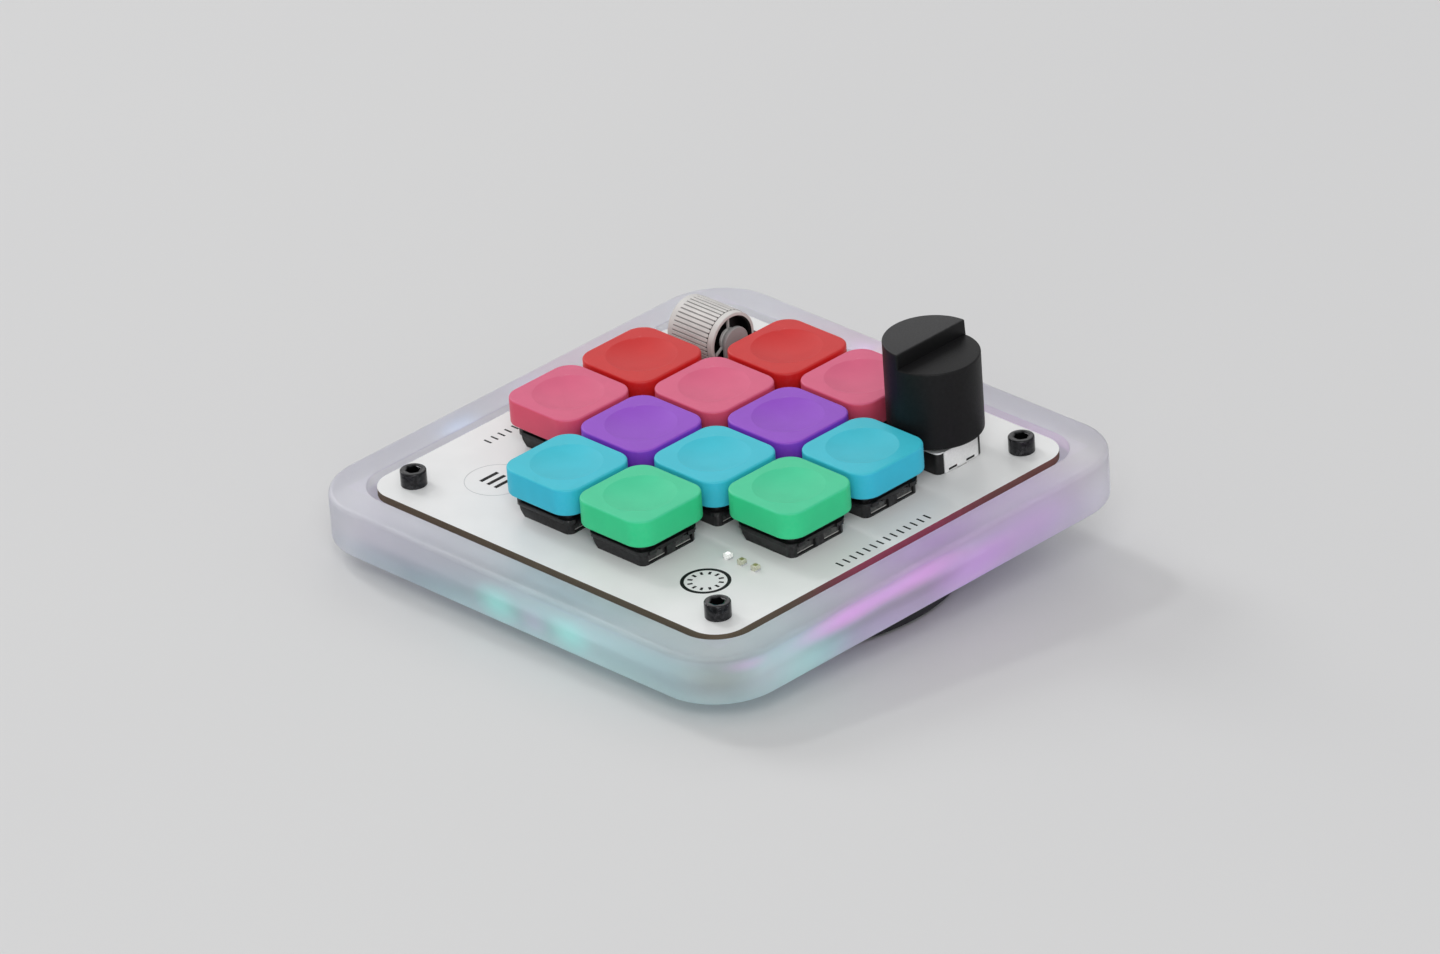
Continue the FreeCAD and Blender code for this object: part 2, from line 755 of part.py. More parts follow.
def make_arm():
    low_x, high_x = drum_half + arm_gap, arm_outer
    arm = bar(arm_radius, low_x, high_x, 0, roller_axis_high)
    arm = arm.fuse(block(low_x, high_x, -arm_radius, arm_radius, arm_low, roller_axis_high))
    toe = block(low_x, high_x, -arm_radius - arm_toe_long, -arm_radius, arm_low, arm_low + arm_toe_high)
    return arm.fuse(toe)


def make_roller_frame():
    x_low = -drum_half - housing_gap - housing_thick
    x_high = arm_outer + frame_margin
    y_high = drum_radius + frame_wall_gap + frame_wall_thick
    wide, deep = x_high - x_low, 2 * y_high
    middle = (x_low + x_high) / 2
    frame = rounded_block(wide, deep, frame_corner, 0, frame_plate, middle, 0)
    window_half = drum_half + frame_window_gap / 2
    frame = frame.cut(block(-window_half, window_half, -drum_radius - frame_window_gap,
                            drum_radius + frame_window_gap, 0, frame_plate))
    frame = frame.fuse(block(x_low + frame_corner, arm_outer, y_high - frame_wall_thick, y_high,
                             0, frame_wall_high))
    housing_half = roller_pin_pitch + housing_pin_cover
    housing = block(x_low, x_low + housing_thick, -housing_half, housing_half, 0, housing_high)
    top_edges = [e for e in housing.Edges if e.BoundBox.ZMin > housing_high - level_reach]
    housing = housing.makeFillet(housing_round, top_edges)
    slot_half = axle_radius + run_gap
    bearing = slot_half + bearing_wall
    frame = frame.fuse([housing, block(x_low, x_low + housing_thick, -bearing, bearing, 0, roller_axis_high),
                        bar(bearing, x_low, x_low + housing_thick, 0, roller_axis_high)])
    slot = block(x_low, x_low + housing_thick, -slot_half, slot_half,
                 roller_axis_high - roller_travel - fit_gap, roller_axis_high)
    frame = frame.cut(slot)
    for z in (roller_axis_high, roller_axis_high - roller_travel - fit_gap):
        frame = frame.cut(bar(slot_half, x_low, x_low + housing_thick, 0, z))
    return frame


def roller_pin_places():
    x = roller_x - drum_half - housing_gap - housing_thick / 2
    return [(x, roller_y + i * roller_pin_pitch) for i in (-1, 0, 1)]


# Small parts
def make_indicators():
    lamp = centred_block(indicator_long, indicator_deep, 0, indicator_high, indicator_x, indicator_y)
    return Part.makeCompound([moved(lamp, i * indicator_step, 0) for i in range(indicator_count)])


def make_glow_lamps():
    """Two lamps under each edge of the board, the same on every side."""
    lamps = []
    top = -board_thick
    for quarter in range(4):
        for side in (-1, 1):
            lamp = centred_block(glow_long, glow_long, top - glow_high, top,
                                 glow_shift + side * key_pitch / 2, glow_inset - board_half)
            lamp.rotate(vec(0, 0, 0), vec(0, 0, 1), 90 * quarter)
            lamps.append(lamp)
    return Part.makeCompound(lamps)


def make_controller():
    return centred_block(chip_side, chip_side, -board_thick - chip_high, -board_thick,
                         corner_place, -corner_place)


def make_support_chips():
    top = -board_thick
    x0, y0 = corner_place, -corner_place
    memory_x = x0 - chip_side / 2 - chip_spacing - memory_long / 2
    crystal_y = y0 - chip_side / 2 - chip_spacing - crystal_deep / 2
    regulator_x = x0 + chip_side / 2 + chip_spacing + regulator_long / 2
    return Part.makeCompound([
        centred_block(memory_long, memory_deep, top - memory_high, top, memory_x, y0),
        centred_block(crystal_long, crystal_deep, top - crystal_high, top, x0, crystal_y),
        centred_block(regulator_long, regulator_deep, top - regulator_high, top, regulator_x, y0)])


# Cable inlet: a steel shell on four legs, with a moulded tongue inside
inlet_mouth = board_half + inlet_overhang


def lying_tube(wide, high, corner, y_low, y_high):
    tube = rounded_block(wide, high, corner, 0, y_high - y_low)
    tube.rotate(vec(0, 0, 0), vec(1, 0, 0), -90)
    tube.translate(vec(0, y_low, -inlet_drop))
    return tube


def make_inlet_shell():
    back = inlet_mouth - inlet_long
    corner = inlet_high / 2 - level_reach
    shell = lying_tube(inlet_wide, inlet_high, corner, back, inlet_mouth)
    bore_wide, bore_high = inlet_wide - 2 * inlet_wall, inlet_high - 2 * inlet_wall
    shell = shell.cut(lying_tube(bore_wide, bore_high, bore_high / 2 - level_reach, back, inlet_mouth))
    leg_top = -board_thick
    leg_x = (inlet_wide - inlet_high) / 2
    leg_low = inlet_high / 2 - inlet_drop - inlet_wall / 2
    for side in (-1, 1):
        for y in (back + leg_long, inlet_mouth - 2 * leg_long):
            shell = shell.fuse(centred_block(leg_wide, leg_long, leg_low, leg_top, side * leg_x, y))
    return shell


def make_inlet_tongue():
    back = inlet_mouth - inlet_long
    bore_wide, bore_high = inlet_wide - 2 * inlet_wall, inlet_high - 2 * inlet_wall
    block_wide, block_high = bore_wide - 2 * fit_gap, bore_high - 2 * fit_gap
    core = lying_tube(block_wide, block_high, block_high / 2 - level_reach, back, back + tongue_back)
    tongue = block(-tongue_wide / 2, tongue_wide / 2, back + tongue_back, inlet_mouth - inlet_wall,
                   -inlet_drop - tongue_thick / 2, -inlet_drop + tongue_thick / 2)
    return core.fuse(tongue)


# Build the fixed pieces
save("case_tray", stand(make_tray()))
save("circuit_board", stand(make_board()))
screw = make_screw()
save("case_screws", stand(Part.makeCompound([moved(screw, x, y) for x, y in screw_places()])))
insert = make_insert()
save("threaded_inserts", stand(Part.makeCompound([moved(insert, x, y) for x, y in screw_places()])))
save("foot_wedge", make_foot())
save("foot_pad", make_pad())
foot_screw = make_foot_screw()
save("foot_screws", stand(Part.makeCompound([moved(foot_screw, x, y) for x, y in foot_screw_places()])))

save("switch_bases", stand(at_keys(make_switch_base())))
save("switch_windows", stand(at_keys(make_windows())))
save("switch_covers", stand(at_keys(make_cover())))
save("switch_contacts", stand(at_keys(make_contacts())))
save("switch_springs", stand(at_keys(make_spring())))
save("switch_sockets", stand(at_keys(make_socket())))

save("encoder_base", stand(moved(make_encoder_base(), corner_place, corner_place)))
save("encoder_cover", stand(moved(make_encoder_cover(), corner_place, corner_place)))
save("encoder_bush", stand(moved(make_bush(), corner_place, corner_place)))
save("encoder_pins", stand(make_pins(encoder_pin_places())))
save("roller_frame", stand(moved(make_roller_frame(), roller_x, roller_y)))
save("roller_pins", stand(make_pins(roller_pin_places())))

save("indicator_leds", stand(make_indicators()))
save("underglow_leds", stand(make_glow_lamps()))
save("controller_chip", stand(make_controller()))
save("support_chips", stand(make_support_chips()))
save("inlet_shell", stand(moved(make_inlet_shell(), inlet_x, 0)))
save("inlet_tongue", stand(moved(make_inlet_tongue(), inlet_x, 0)))

# Build the moving pieces
keycap = make_keycap()
stem = make_stem()
for row, column in key_places:
    suffix = "_r" + str(row) + "c" + str(column)
    save("keycap" + suffix, stand(moved(keycap, place_x(column), place_y(row))))
    save("stem" + suffix, stand(moved(stem, place_x(column), place_y(row))))

save("knob", stand(moved(make_knob(), corner_place, corner_place)))
save("knob_shaft", stand(moved(make_shaft(), corner_place, corner_place)))
save("encoder_plunger", stand(moved(make_plunger(), corner_place, corner_place)))
save("roller_drum", stand(moved(make_drum(), roller_x, roller_y)))
save("roller_axle", stand(moved(make_axle(), roller_x, roller_y)))
save("roller_arm", stand(moved(make_arm(), roller_x, roller_y)))
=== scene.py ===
import json
import math

import bmesh
import bpy
from mathutils import Euler, Matrix, Vector


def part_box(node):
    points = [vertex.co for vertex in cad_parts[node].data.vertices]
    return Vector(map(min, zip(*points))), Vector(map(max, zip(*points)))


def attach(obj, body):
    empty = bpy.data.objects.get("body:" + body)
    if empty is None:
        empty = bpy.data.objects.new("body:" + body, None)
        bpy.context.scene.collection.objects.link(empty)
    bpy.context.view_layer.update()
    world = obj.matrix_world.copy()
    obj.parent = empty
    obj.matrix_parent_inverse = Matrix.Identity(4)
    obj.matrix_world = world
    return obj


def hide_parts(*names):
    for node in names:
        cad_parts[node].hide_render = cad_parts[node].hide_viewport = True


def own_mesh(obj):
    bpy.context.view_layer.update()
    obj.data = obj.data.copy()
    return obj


# A desk keypad: twelve soft keys, a tall knob and a ribbed roller on a white board in a frosted tray.
# Pieces are made in the board's own millimetres (X right, Y away, Z out of the board) and then placed.

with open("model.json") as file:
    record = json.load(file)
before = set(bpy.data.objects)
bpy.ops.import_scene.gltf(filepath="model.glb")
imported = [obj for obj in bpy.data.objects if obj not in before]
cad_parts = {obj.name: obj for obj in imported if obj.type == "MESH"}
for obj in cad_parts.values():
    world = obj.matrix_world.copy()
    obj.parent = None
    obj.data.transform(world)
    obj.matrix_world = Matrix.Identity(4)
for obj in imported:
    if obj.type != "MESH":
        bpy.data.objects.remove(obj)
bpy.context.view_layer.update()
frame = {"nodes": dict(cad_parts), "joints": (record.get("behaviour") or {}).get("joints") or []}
nodes = frame["nodes"]
mm = 0.001

boardThick = 1.6  # mm, puts the board's top above the middle of its box
pressAxis = next(Vector(j["axis"]) for j in frame["joints"] if j["name"].startswith("key_press"))
tilt = math.atan2(pressAxis.y, -pressAxis.z)
boardUp = -pressAxis.normalized()
boardLow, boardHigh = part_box("circuit_board")
boardMiddle = (boardLow + boardHigh) / 2 + boardUp * boardThick / 2 * mm
boardToDesk = Matrix.Translation(boardMiddle) @ Matrix.Rotation(tilt, 4, "X") @ Matrix.Scale(mm, 4)
deskToBoard = boardToDesk.inverted()


def boardBox(node):
    # lowest and highest corner of a CAD piece in the board's millimetres
    points = [deskToBoard @ v.co for v in nodes[node].data.vertices]
    low = Vector([min(p[i] for p in points) for i in range(3)])
    high = Vector([max(p[i] for p in points) for i in range(3)])
    return low, high


def tone(red, green, blue):
    # a screen colour from 0 to 255 as the linear values that shaders take
    def linear(v):
        v /= 255
        return v / 12.92 if v <= 0.04045 else ((v + 0.055) / 1.055) ** 2.4
    return (linear(red), linear(green), linear(blue), 1.0)


def newObject(name, data):
    item = bpy.data.objects.new(name, data)
    bpy.context.scene.collection.objects.link(item)
    return item


# Camera and light
viewPlan = {"azimuth": 45.0, "elevation": 24.94, "distance": 1.95393, "lens": 266.2, "sensor": 36.0,
            "nearest": 0.05, "farthest": 60.0, "aimRight": 0.000406, "aimDown": 0.001828}


def setCamera(plan):
    data = bpy.data.cameras.new("viewCamera")
    data.lens = plan["lens"]
    data.sensor_width = plan["sensor"]
    data.clip_start = plan["nearest"]
    data.clip_end = plan["farthest"]
    camera = newObject("viewCamera", data)
    turn = Euler((math.radians(90 - plan["elevation"]), 0, math.radians(plan["azimuth"]))).to_matrix()
    offset = turn @ Vector((plan["aimRight"], -plan["aimDown"], plan["distance"]))
    camera.matrix_world = Matrix.Translation(boardMiddle + offset) @ turn.to_4x4()
    bpy.context.scene.camera = camera


lightPlan = {"skyTone": (1.0, 1.0, 1.0, 1.0), "skyStrength": 0.575, "distance": 3.2,
             "lights": {"side": {"power": 25.0, "size": 1.2, "azimuth": -90.0, "elevation": 30.0},
                        "key": {"power": 10.0, "size": 0.4, "azimuth": -92.0, "elevation": 50.0},
                        "front": {"power": 31.0, "size": 1.5, "azimuth": 45.0, "elevation": 40.0},
                        "low": {"power": 10.0, "size": 1.2, "azimuth": 45.0, "elevation": 12.0},
                        "rear": {"power": 5.5, "size": 1.5, "azimuth": -135.0, "elevation": 35.0}}}


def aimedLight(name, power, size, distance, azimuth, elevation):
    # azimuth 0 stands in front of the user's side, 90 at the right
    data = bpy.data.lights.new(name, "AREA")
    data.shape = "DISK"
    data.size = size
    data.energy = power
    light = newObject(name, data)
    side, rise = math.radians(azimuth), math.radians(elevation)
    flat = math.cos(rise) * distance
    place = Vector((math.sin(side) * flat, -math.cos(side) * flat, math.sin(rise) * distance))
    light.location = place
    light.rotation_euler = place.to_track_quat("Z", "Y").to_euler()


def setLight(plan):
    scene = bpy.context.scene
    scene.view_settings.view_transform = "Standard"
    world = bpy.data.worlds.new("studio")
    world.use_nodes = True
    scene.world = world
    sky = world.node_tree.nodes["Background"]
    sky.inputs["Color"].default_value = plan["skyTone"]
    sky.inputs["Strength"].default_value = plan["skyStrength"]
    for name, light in plan["lights"].items():
        aimedLight(name + "Light", distance=plan["distance"], **light)


# Node helpers
def addNode(tree, kind, inputs=None, **settings):
    node = tree.nodes.new(kind)
    for key, value in settings.items():
        setattr(node, key, value)
    for key, value in (inputs or {}).items():
        if isinstance(value, bpy.types.NodeSocket):
            tree.links.new(value, node.inputs[key])
        else:
            node.inputs[key].default_value = value
    return node


def doMath(tree, operation, first, second=0.0):
    return addNode(tree, "ShaderNodeMath", {0: first, 1: second}, operation=operation).outputs[0]


def ramp(tree, value, low, high, fromZero=0.0, toOne=1.0):
    # a smooth step from low to high
    node = addNode(tree, "ShaderNodeMapRange", {"Value": value, "From Min": low, "From Max": high,
                                                "To Min": fromZero, "To Max": toOne},
                   interpolation_type="SMOOTHSTEP")
    return node.outputs["Result"]


def mixTone(tree, share, first, second, mode="MIX"):
    node = addNode(tree, "ShaderNodeMix", {0: share, 6: first, 7: second}, data_type="RGBA", blend_type=mode)
    return node.outputs[2]


def vectorMath(tree, operation, first, second=None, output=0):
    inputs = {0: first} if second is None else {0: first, 1: second}
    return addNode(tree, "ShaderNodeVectorMath", inputs, operation=operation).outputs[output]


def axesOf(tree, vector):
    axes = addNode(tree, "ShaderNodeSeparateXYZ", {0: vector}).outputs
    return axes["X"], axes["Y"], axes["Z"]


def noise(tree, vector, scale, detail):
    inputs = {"Vector": vector, "Scale": scale, "Detail": detail}
    return addNode(tree, "ShaderNodeTexNoise", inputs).outputs["Fac"]


def steps(tree, *pairs):
    # several smooth steps, each a value and its limits, multiplied with each other
    share = None
    for value, limits in pairs:
        step = ramp(tree, value, *limits)
        share = step if share is None else doMath(tree, "MULTIPLY", share, step)
    return share


def dimmer(colour, share):
    return tuple(v * share for v in colour[:3]) + (1.0,)


def newGroup(name, inputs, outputs):
    group = bpy.data.node_groups.new(name, "ShaderNodeTree")
    for label, kind, value in inputs:
        socket = group.interface.new_socket(label, in_out="INPUT", socket_type="NodeSocket" + kind)
        if value is not None:
            socket.default_value = value
    for label, kind in outputs:
        group.interface.new_socket(label, in_out="OUTPUT", socket_type="NodeSocket" + kind)
    start = group.nodes.new("NodeGroupInput")
    end = group.nodes.new("NodeGroupOutput")
    return group, start, end


def useGroup(tree, group, inputs):
    return addNode(tree, "ShaderNodeGroup", inputs, node_tree=group)


# Shared effects
effectPlan = {"grainDetail": 3.0, "broadScale": 0.035, "broadDetail": 2.0, "edge": (0.505, 0.56),
              "wearDetail": 4.0, "wearSpots": (0.3, 0.7), "drawn": (0.06, 1.0, 1.0), "lineDetail": 4.0}


def makeGrainGroup(plan):
    # moulded grain: fine bumps and a broad unevenness
    group, start, end = newGroup("mouldedGrain", [("Vector", "Vector", None), ("Scale", "Float", 3.0)],
                                 [("Height", "Float"), ("Broad", "Float")])
    place, scale = start.outputs["Vector"], start.outputs["Scale"]
    broadScale = doMath(group, "MULTIPLY", scale, plan["broadScale"])
    group.links.new(noise(group, place, scale, plan["grainDetail"]), end.inputs["Height"])
    group.links.new(noise(group, place, broadScale, plan["broadDetail"]), end.inputs["Broad"])
    return group


def makeWearGroup(plan):
    # edges rubbed a little lighter, broken up by noise
    group, start, end = newGroup("edgeWear", [("Vector", "Vector", None), ("Scale", "Float", 1.2),
                                              ("Amount", "Float", 0.3)], [("Mask", "Float")])
    sharpness = addNode(group, "ShaderNodeNewGeometry").outputs["Pointiness"]
    spots = noise(group, start.outputs["Vector"], start.outputs["Scale"], plan["wearDetail"])
    broken = steps(group, (sharpness, plan["edge"]), (spots, plan["wearSpots"]))
    group.links.new(doMath(group, "MULTIPLY", broken, start.outputs["Amount"]), end.inputs["Mask"])
    return group


def makeBrushGroup(plan):
    # fine lines along the board's X, as on rolled and ground metal
    group, start, end = newGroup("brushedMetal", [("Vector", "Vector", None), ("Scale", "Float", 2.0)],
                                 [("Height", "Float")])
    drawn = vectorMath(group, "MULTIPLY", start.outputs["Vector"], plan["drawn"])
    group.links.new(noise(group, drawn, start.outputs["Scale"], plan["lineDetail"]), end.inputs["Height"])
    return group


def makeSpotGroup():
    # a soft round patch: 1 at its middle, 0 at its reach
    middle, reach = (0.0, 0.0, 0.0), (1.0, 1.0, 1.0)
    group, start, end = newGroup("softSpot", [("Vector", "Vector", None), ("Middle", "Vector", middle),
                                              ("Reach", "Vector", reach)], [("Mask", "Float")])
    away = vectorMath(group, "SUBTRACT", start.outputs["Vector"], start.outputs["Middle"])
    share = vectorMath(group, "DIVIDE", away, start.outputs["Reach"])
    far = vectorMath(group, "LENGTH", share, output="Value")
    group.links.new(ramp(group, far, 1.0, 0.0), end.inputs["Mask"])
    return group


grainGroup = makeGrainGroup(effectPlan)
wearGroup = makeWearGroup(effectPlan)
brushGroup = makeBrushGroup(effectPlan)
spotGroup = makeSpotGroup()


# Finishes
def newFinish(name, sockets):
    finish = bpy.data.materials.new(name)
    finish.use_nodes = True
    tree = finish.node_tree
    shader = tree.nodes["Principled BSDF"]
    for label, value in sockets.items():
        shader.inputs[label].default_value = value
    place = addNode(tree, "ShaderNodeTexCoord").outputs["Object"]
    onBoard = addNode(tree, "ShaderNodeMapping", {"Vector": place, "Location": boardMiddle,
                                                  "Rotation": (tilt, 0.0, 0.0), "Scale": (mm, mm, mm)},
                      vector_type="TEXTURE").outputs["Vector"]
    return finish, tree, shader, onBoard


surfaceLook = {"uneven": (0.3, 0.7), "wearScale": 1.5, "gloss": (0.25, 0.75), "glossSpread": 0.04,
               "metalGloss": (0.2, 0.8), "metalSmoother": 0.06, "metalRougher": 0.08, "metalBump": 0.3}


def grainOf(tree, onBoard, scale):
    effect = useGroup(tree, grainGroup, {"Vector": onBoard, "Scale": scale}).outputs
    return effect["Height"], effect["Broad"]


def rubbed(tree, onBoard, base, amount, colour):
    wear = useGroup(tree, wearGroup, {"Vector": onBoard, "Scale": surfaceLook["wearScale"], "Amount": amount})
    return mixTone(tree, wear.outputs["Mask"], base, colour)


def upward(tree, low, high):
    # 0 on the sides, 1 on the faces that look up from the board
    facing = addNode(tree, "ShaderNodeNewGeometry").outputs["True Normal"]
    return ramp(tree, vectorMath(tree, "DOT_PRODUCT", facing, boardUp, "Value"), low, high)


def paintSpots(tree, onBoard, tint, rows, mode):
    # each row holds a soft patch's middle, its reach and its colour
    for row in rows:
        spot = useGroup(tree, spotGroup, {"Vector": onBoard, "Middle": row[0:3], "Reach": row[3:6]})
        tint = mixTone(tree, spot.outputs["Mask"], tint, row[6:9] + (1.0,), mode)
    return tint


def dress(tree, shader, base, rough, height=None, strength=0.0, distance=0.0):
    # colour, roughness and a bump, whose distance is in millimetres
    tree.links.new(base, shader.inputs["Base Color"])
    tree.links.new(rough, shader.inputs["Roughness"])
    if height is not None:
        bump = addNode(tree, "ShaderNodeBump", {"Height": height, "Strength": strength,
                                                "Distance": distance * mm})
        tree.links.new(bump.outputs["Normal"], shader.inputs["Normal"])


def mouldedPlastic(name, colour, rough, grain=5.0, bump=0.25, deep=0.02, shade=0.1, wear=0.0,
                   wearColour=None, sockets=None):
    # plastic from a mould: grain, slightly uneven tone and gloss, edges a little paler
    finish, tree, shader, onBoard = newFinish(name, sockets or {})
    height, broad = grainOf(tree, onBoard, grain)
    base = mixTone(tree, ramp(tree, broad, *surfaceLook["uneven"]), dimmer(colour, 1 - shade), colour)
    if wear:
        base = rubbed(tree, onBoard, base, wear, wearColour)
    spread = surfaceLook["glossSpread"]
    gloss = ramp(tree, height, *surfaceLook["gloss"], rough - spread, rough + spread)
    dress(tree, shader, base, gloss, height, bump, deep)
    return finish


def brushedMetal(name, colour, rough, scale=6.0, deep=0.01, shade=0.15, metal=1.0):
    finish, tree, shader, onBoard = newFinish(name, {"Metallic": metal})
    lines = useGroup(tree, brushGroup, {"Vector": onBoard, "Scale": scale}).outputs["Height"]
    base = mixTone(tree, ramp(tree, lines, *surfaceLook["uneven"]), dimmer(colour, 1 - shade), colour)
    gloss = ramp(tree, lines, *surfaceLook["metalGloss"], rough - surfaceLook["metalSmoother"],
                 rough + surfaceLook["metalRougher"])
    dress(tree, shader, base, gloss, lines, surfaceLook["metalBump"], deep)
    return finish


# X, Y and Z steps are in the board's millimetres; a row of painted shades or painted glows holds middle,
# reach and colour
trayLook = {
    "grey": tone(238, 236, 242), "tealLampTint": tone(216, 237, 237), "lilacLampTint": tone(238, 224, 247),
    "tealX": (-45.0, 40.0), "tealY": (10.0, -40.0), "tealZ": (0.2, -3.0, 0.45, 1.0),
    "lilacX": (5.0, 45.0), "lilacY": (-35.0, 5.0), "lilacFar": (54.0, 26.0),
    "rim": (-1.2, -0.3), "near": (0.0, 45.0), "nearShade": (0.82, 0.8, 0.78, 1.0),
    "far": (5.0, -40.0), "farGlow": (0.03, 0.035, 0.03, 1.0),
    "cloud": (0.35, 0.8, 0.0, 0.25), "cloudPale": 0.5, "grain": 3.2, "gloss": (0.2, 0.8, 0.40, 0.50),
    "bump": (0.25, 0.03), "transmission": 0.7, "index": 1.46, "innerLight": (0.0, 0.0, 0.002, 1.0),
    "under": (-8.9, -9.5), "underLight": (0.03, 0.05, 0.05, 1.0),
    "pocket": (48.3, 48.2), "pocketLight": (0.015, 0.008, 0.022, 1.0),
    "farWall": (4.0, -4.0), "wallTop": (0.12, -0.15), "strip": (-2.8, -1.2), "stripX": (0.0, 40.0),
    "stripLight": (0.085, 0.10, 0.085, 1.0), "stripLilac": (0.155, 0.10, 0.16, 1.0),
    "paintedShades": [
        (50.0, 44.0, 0.0, 14.0, 16.0, 8.0, 0.84, 0.83, 0.78),
        (-28.0, -54.6, -8.0, 26.0, 6.0, 5.0, 0.66, 0.80, 0.80),
        (50.7, -50.7, -4.5, 12.0, 12.0, 6.0, 0.97, 0.84, 0.76),
        (51.5, 2.0, 0.2, 6.0, 20.0, 3.0, 0.93, 0.78, 1.0),
        (12.0, -51.5, 0.2, 26.0, 6.0, 2.5, 0.72, 0.83, 0.86)],
    "paintedGlows": [
        (-2.4, -54.6, -5.6, 7.5, 6.0, 4.8, 0.01, 0.24, 0.19),
        (16.2, -54.6, -5.6, 7.5, 6.0, 4.4, 0.01, 0.20, 0.16),
        (-12.0, -54.6, -7.5, 16.0, 6.0, 6.0, 0.0, 0.05, 0.05),
        (6.8, -54.6, -6.0, 5.0, 6.0, 3.5, 0.08, 0.03, 0.09),
        (25.0, -54.6, -2.4, 34.0, 6.0, 6.5, 0.06, 0.095, 0.10),
        (54.6, -12.0, -1.8, 6.0, 20.0, 3.0, 0.07, 0.02, 0.10),
        (54.6, -36.0, -2.0, 6.0, 14.0, 3.4, 0.045, 0.09, 0.10),
        (-14.0, 51.5, 0.2, 26.0, 6.0, 3.0, 0.06, 0.0, 0.02),
        (-51.5, 14.0, 0.2, 6.0, 28.0, 3.0, 0.06, 0.0, 0.02),
        (54.6, -23.0, -2.5, 5.0, 17.0, 2.9, 0.276, 0.01, 0.26),
        (54.6, -3.0, -2.5, 5.0, 16.0, 2.9, 0.204, 0.015, 0.195),
        (54.6, -14.0, -7.2, 6.0, 30.0, 3.6, 0.05, 0.02, 0.08),
        (54.6, 10.0, -6.2, 6.0, 15.0, 5.5, 0.14, 0.015, 0.20),
        (54.2, -46.5, -2.0, 8.0, 6.0, 1.8, 0.12, 0.0, 0.11),
        (54.6, -31.0, -6.8, 5.0, 13.0, 4.4, 0.02, 0.16, 0.12),
        (26.0, -54.6, -6.5, 24.0, 6.0, 6.0, 0.03, 0.07, 0.065),
        (8.0, -54.6, -5.5, 24.0, 6.0, 8.0, 0.03, 0.09, 0.09),
        (54.6, -40.0, -5.5, 5.0, 14.0, 6.0, 0.11, 0.12, 0.13),
        (54.6, 24.0, -5.4, 6.0, 18.0, 6.0, 0.06, 0.0, 0.08),
        (5.3, 54.6, -8.0, 7.5, 6.0, 4.6, 0.26, 0.12, 0.36),
        (-14.2, 54.6, -8.0, 7.5, 6.0, 4.6, 0.26, 0.12, 0.36),
        (-54.6, 5.3, -8.0, 6.0, 7.5, 4.6, 0.10, 0.20, 0.34),
        (-54.6, -14.2, -8.0, 6.0, 7.5, 4.6, 0.10, 0.20, 0.34)]}


def makeTrayFinish(look):
    finish, tree, shader, onBoard = newFinish("frostedTray", {
        "Transmission Weight": look["transmission"], "IOR": look["index"], "Emission Strength": 1.0})
    x, y, z = axesOf(tree, onBoard)
    height, broad = grainOf(tree, onBoard, look["grain"])
    # painted lamp light tints the frosted grey teal at the front and lilac at the right
    tealLampTint = steps(tree, (x, look["tealX"]), (y, look["tealY"]), (z, look["tealZ"]))
    lilacLampTint = steps(tree, (x, look["lilacX"]), (y, look["lilacY"]), (y, look["lilacFar"]))
    base = mixTone(tree, lilacLampTint, mixTone(tree, tealLampTint, look["grey"], look["tealLampTint"]), look["lilacLampTint"])
    # painted shade dulls the rim near the camera, and a painted glow lights it at the far side
    across = doMath(tree, "MULTIPLY", doMath(tree, "SUBTRACT", x, y), 0.5)
    near = steps(tree, (across, look["near"]), (z, look["rim"]))
    far = steps(tree, (across, look["far"]), (z, look["rim"]))
    base = mixTone(tree, near, base, look["nearShade"], "MULTIPLY")
    # painted shade patches darken parts of the rim and the walls
    base = paintSpots(tree, onBoard, base, look["paintedShades"], "MULTIPLY")
    cloudy = mixTone(tree, look["cloudPale"], base, (1.0, 1.0, 1.0, 1.0))
    base = mixTone(tree, ramp(tree, broad, *look["cloud"]), base, cloudy)
    # painted glow stands for lamp light that leaves through the bottom, lights the pocket's far walls from
    # below and shines through the walls in patches
    under = ramp(tree, z, *look["under"])
    farther = doMath(tree, "MAXIMUM", doMath(tree, "ABSOLUTE", x), doMath(tree, "ABSOLUTE", y))
    inPocket = ramp(tree, farther, *look["pocket"])
    strip = steps(tree, (farther, look["pocket"]), (across, look["farWall"]), (z, look["wallTop"]),
                  (z, look["strip"]))
    stripTone = mixTone(tree, ramp(tree, x, *look["stripX"]), look["stripLight"], look["stripLilac"])
    glow = paintSpots(tree, onBoard, look["innerLight"], look["paintedGlows"], "ADD")
    for mask, light in ((far, look["farGlow"]), (under, look["underLight"]), (inPocket, look["pocketLight"]),
                        (strip, stripTone)):
        glow = mixTone(tree, mask, glow, light, "ADD")
    tree.links.new(glow, shader.inputs["Emission Color"])
    dress(tree, shader, base, ramp(tree, height, *look["gloss"]), height, *look["bump"])
    return finish


boardLook = {"mask": tone(226, 227, 227), "maskDark": 0.95, "uneven": (0.3, 0.7, 0.0, 0.5), "maskEdge": 0.06,
             "core": tone(116, 100, 80), "coreDark": tone(78, 64, 50), "layers": 26.0,
             "litCore": tone(152, 68, 86), "litX": (45.0, 45.9), "litY": (-28.0, -8.0),
             "redCore": tone(120, 78, 70), "redY": (8.0, 28.0),
             "grain": 4.0, "gloss": (0.0, 1.0, 0.75, 0.42), "bump": (0.12, 0.02)}


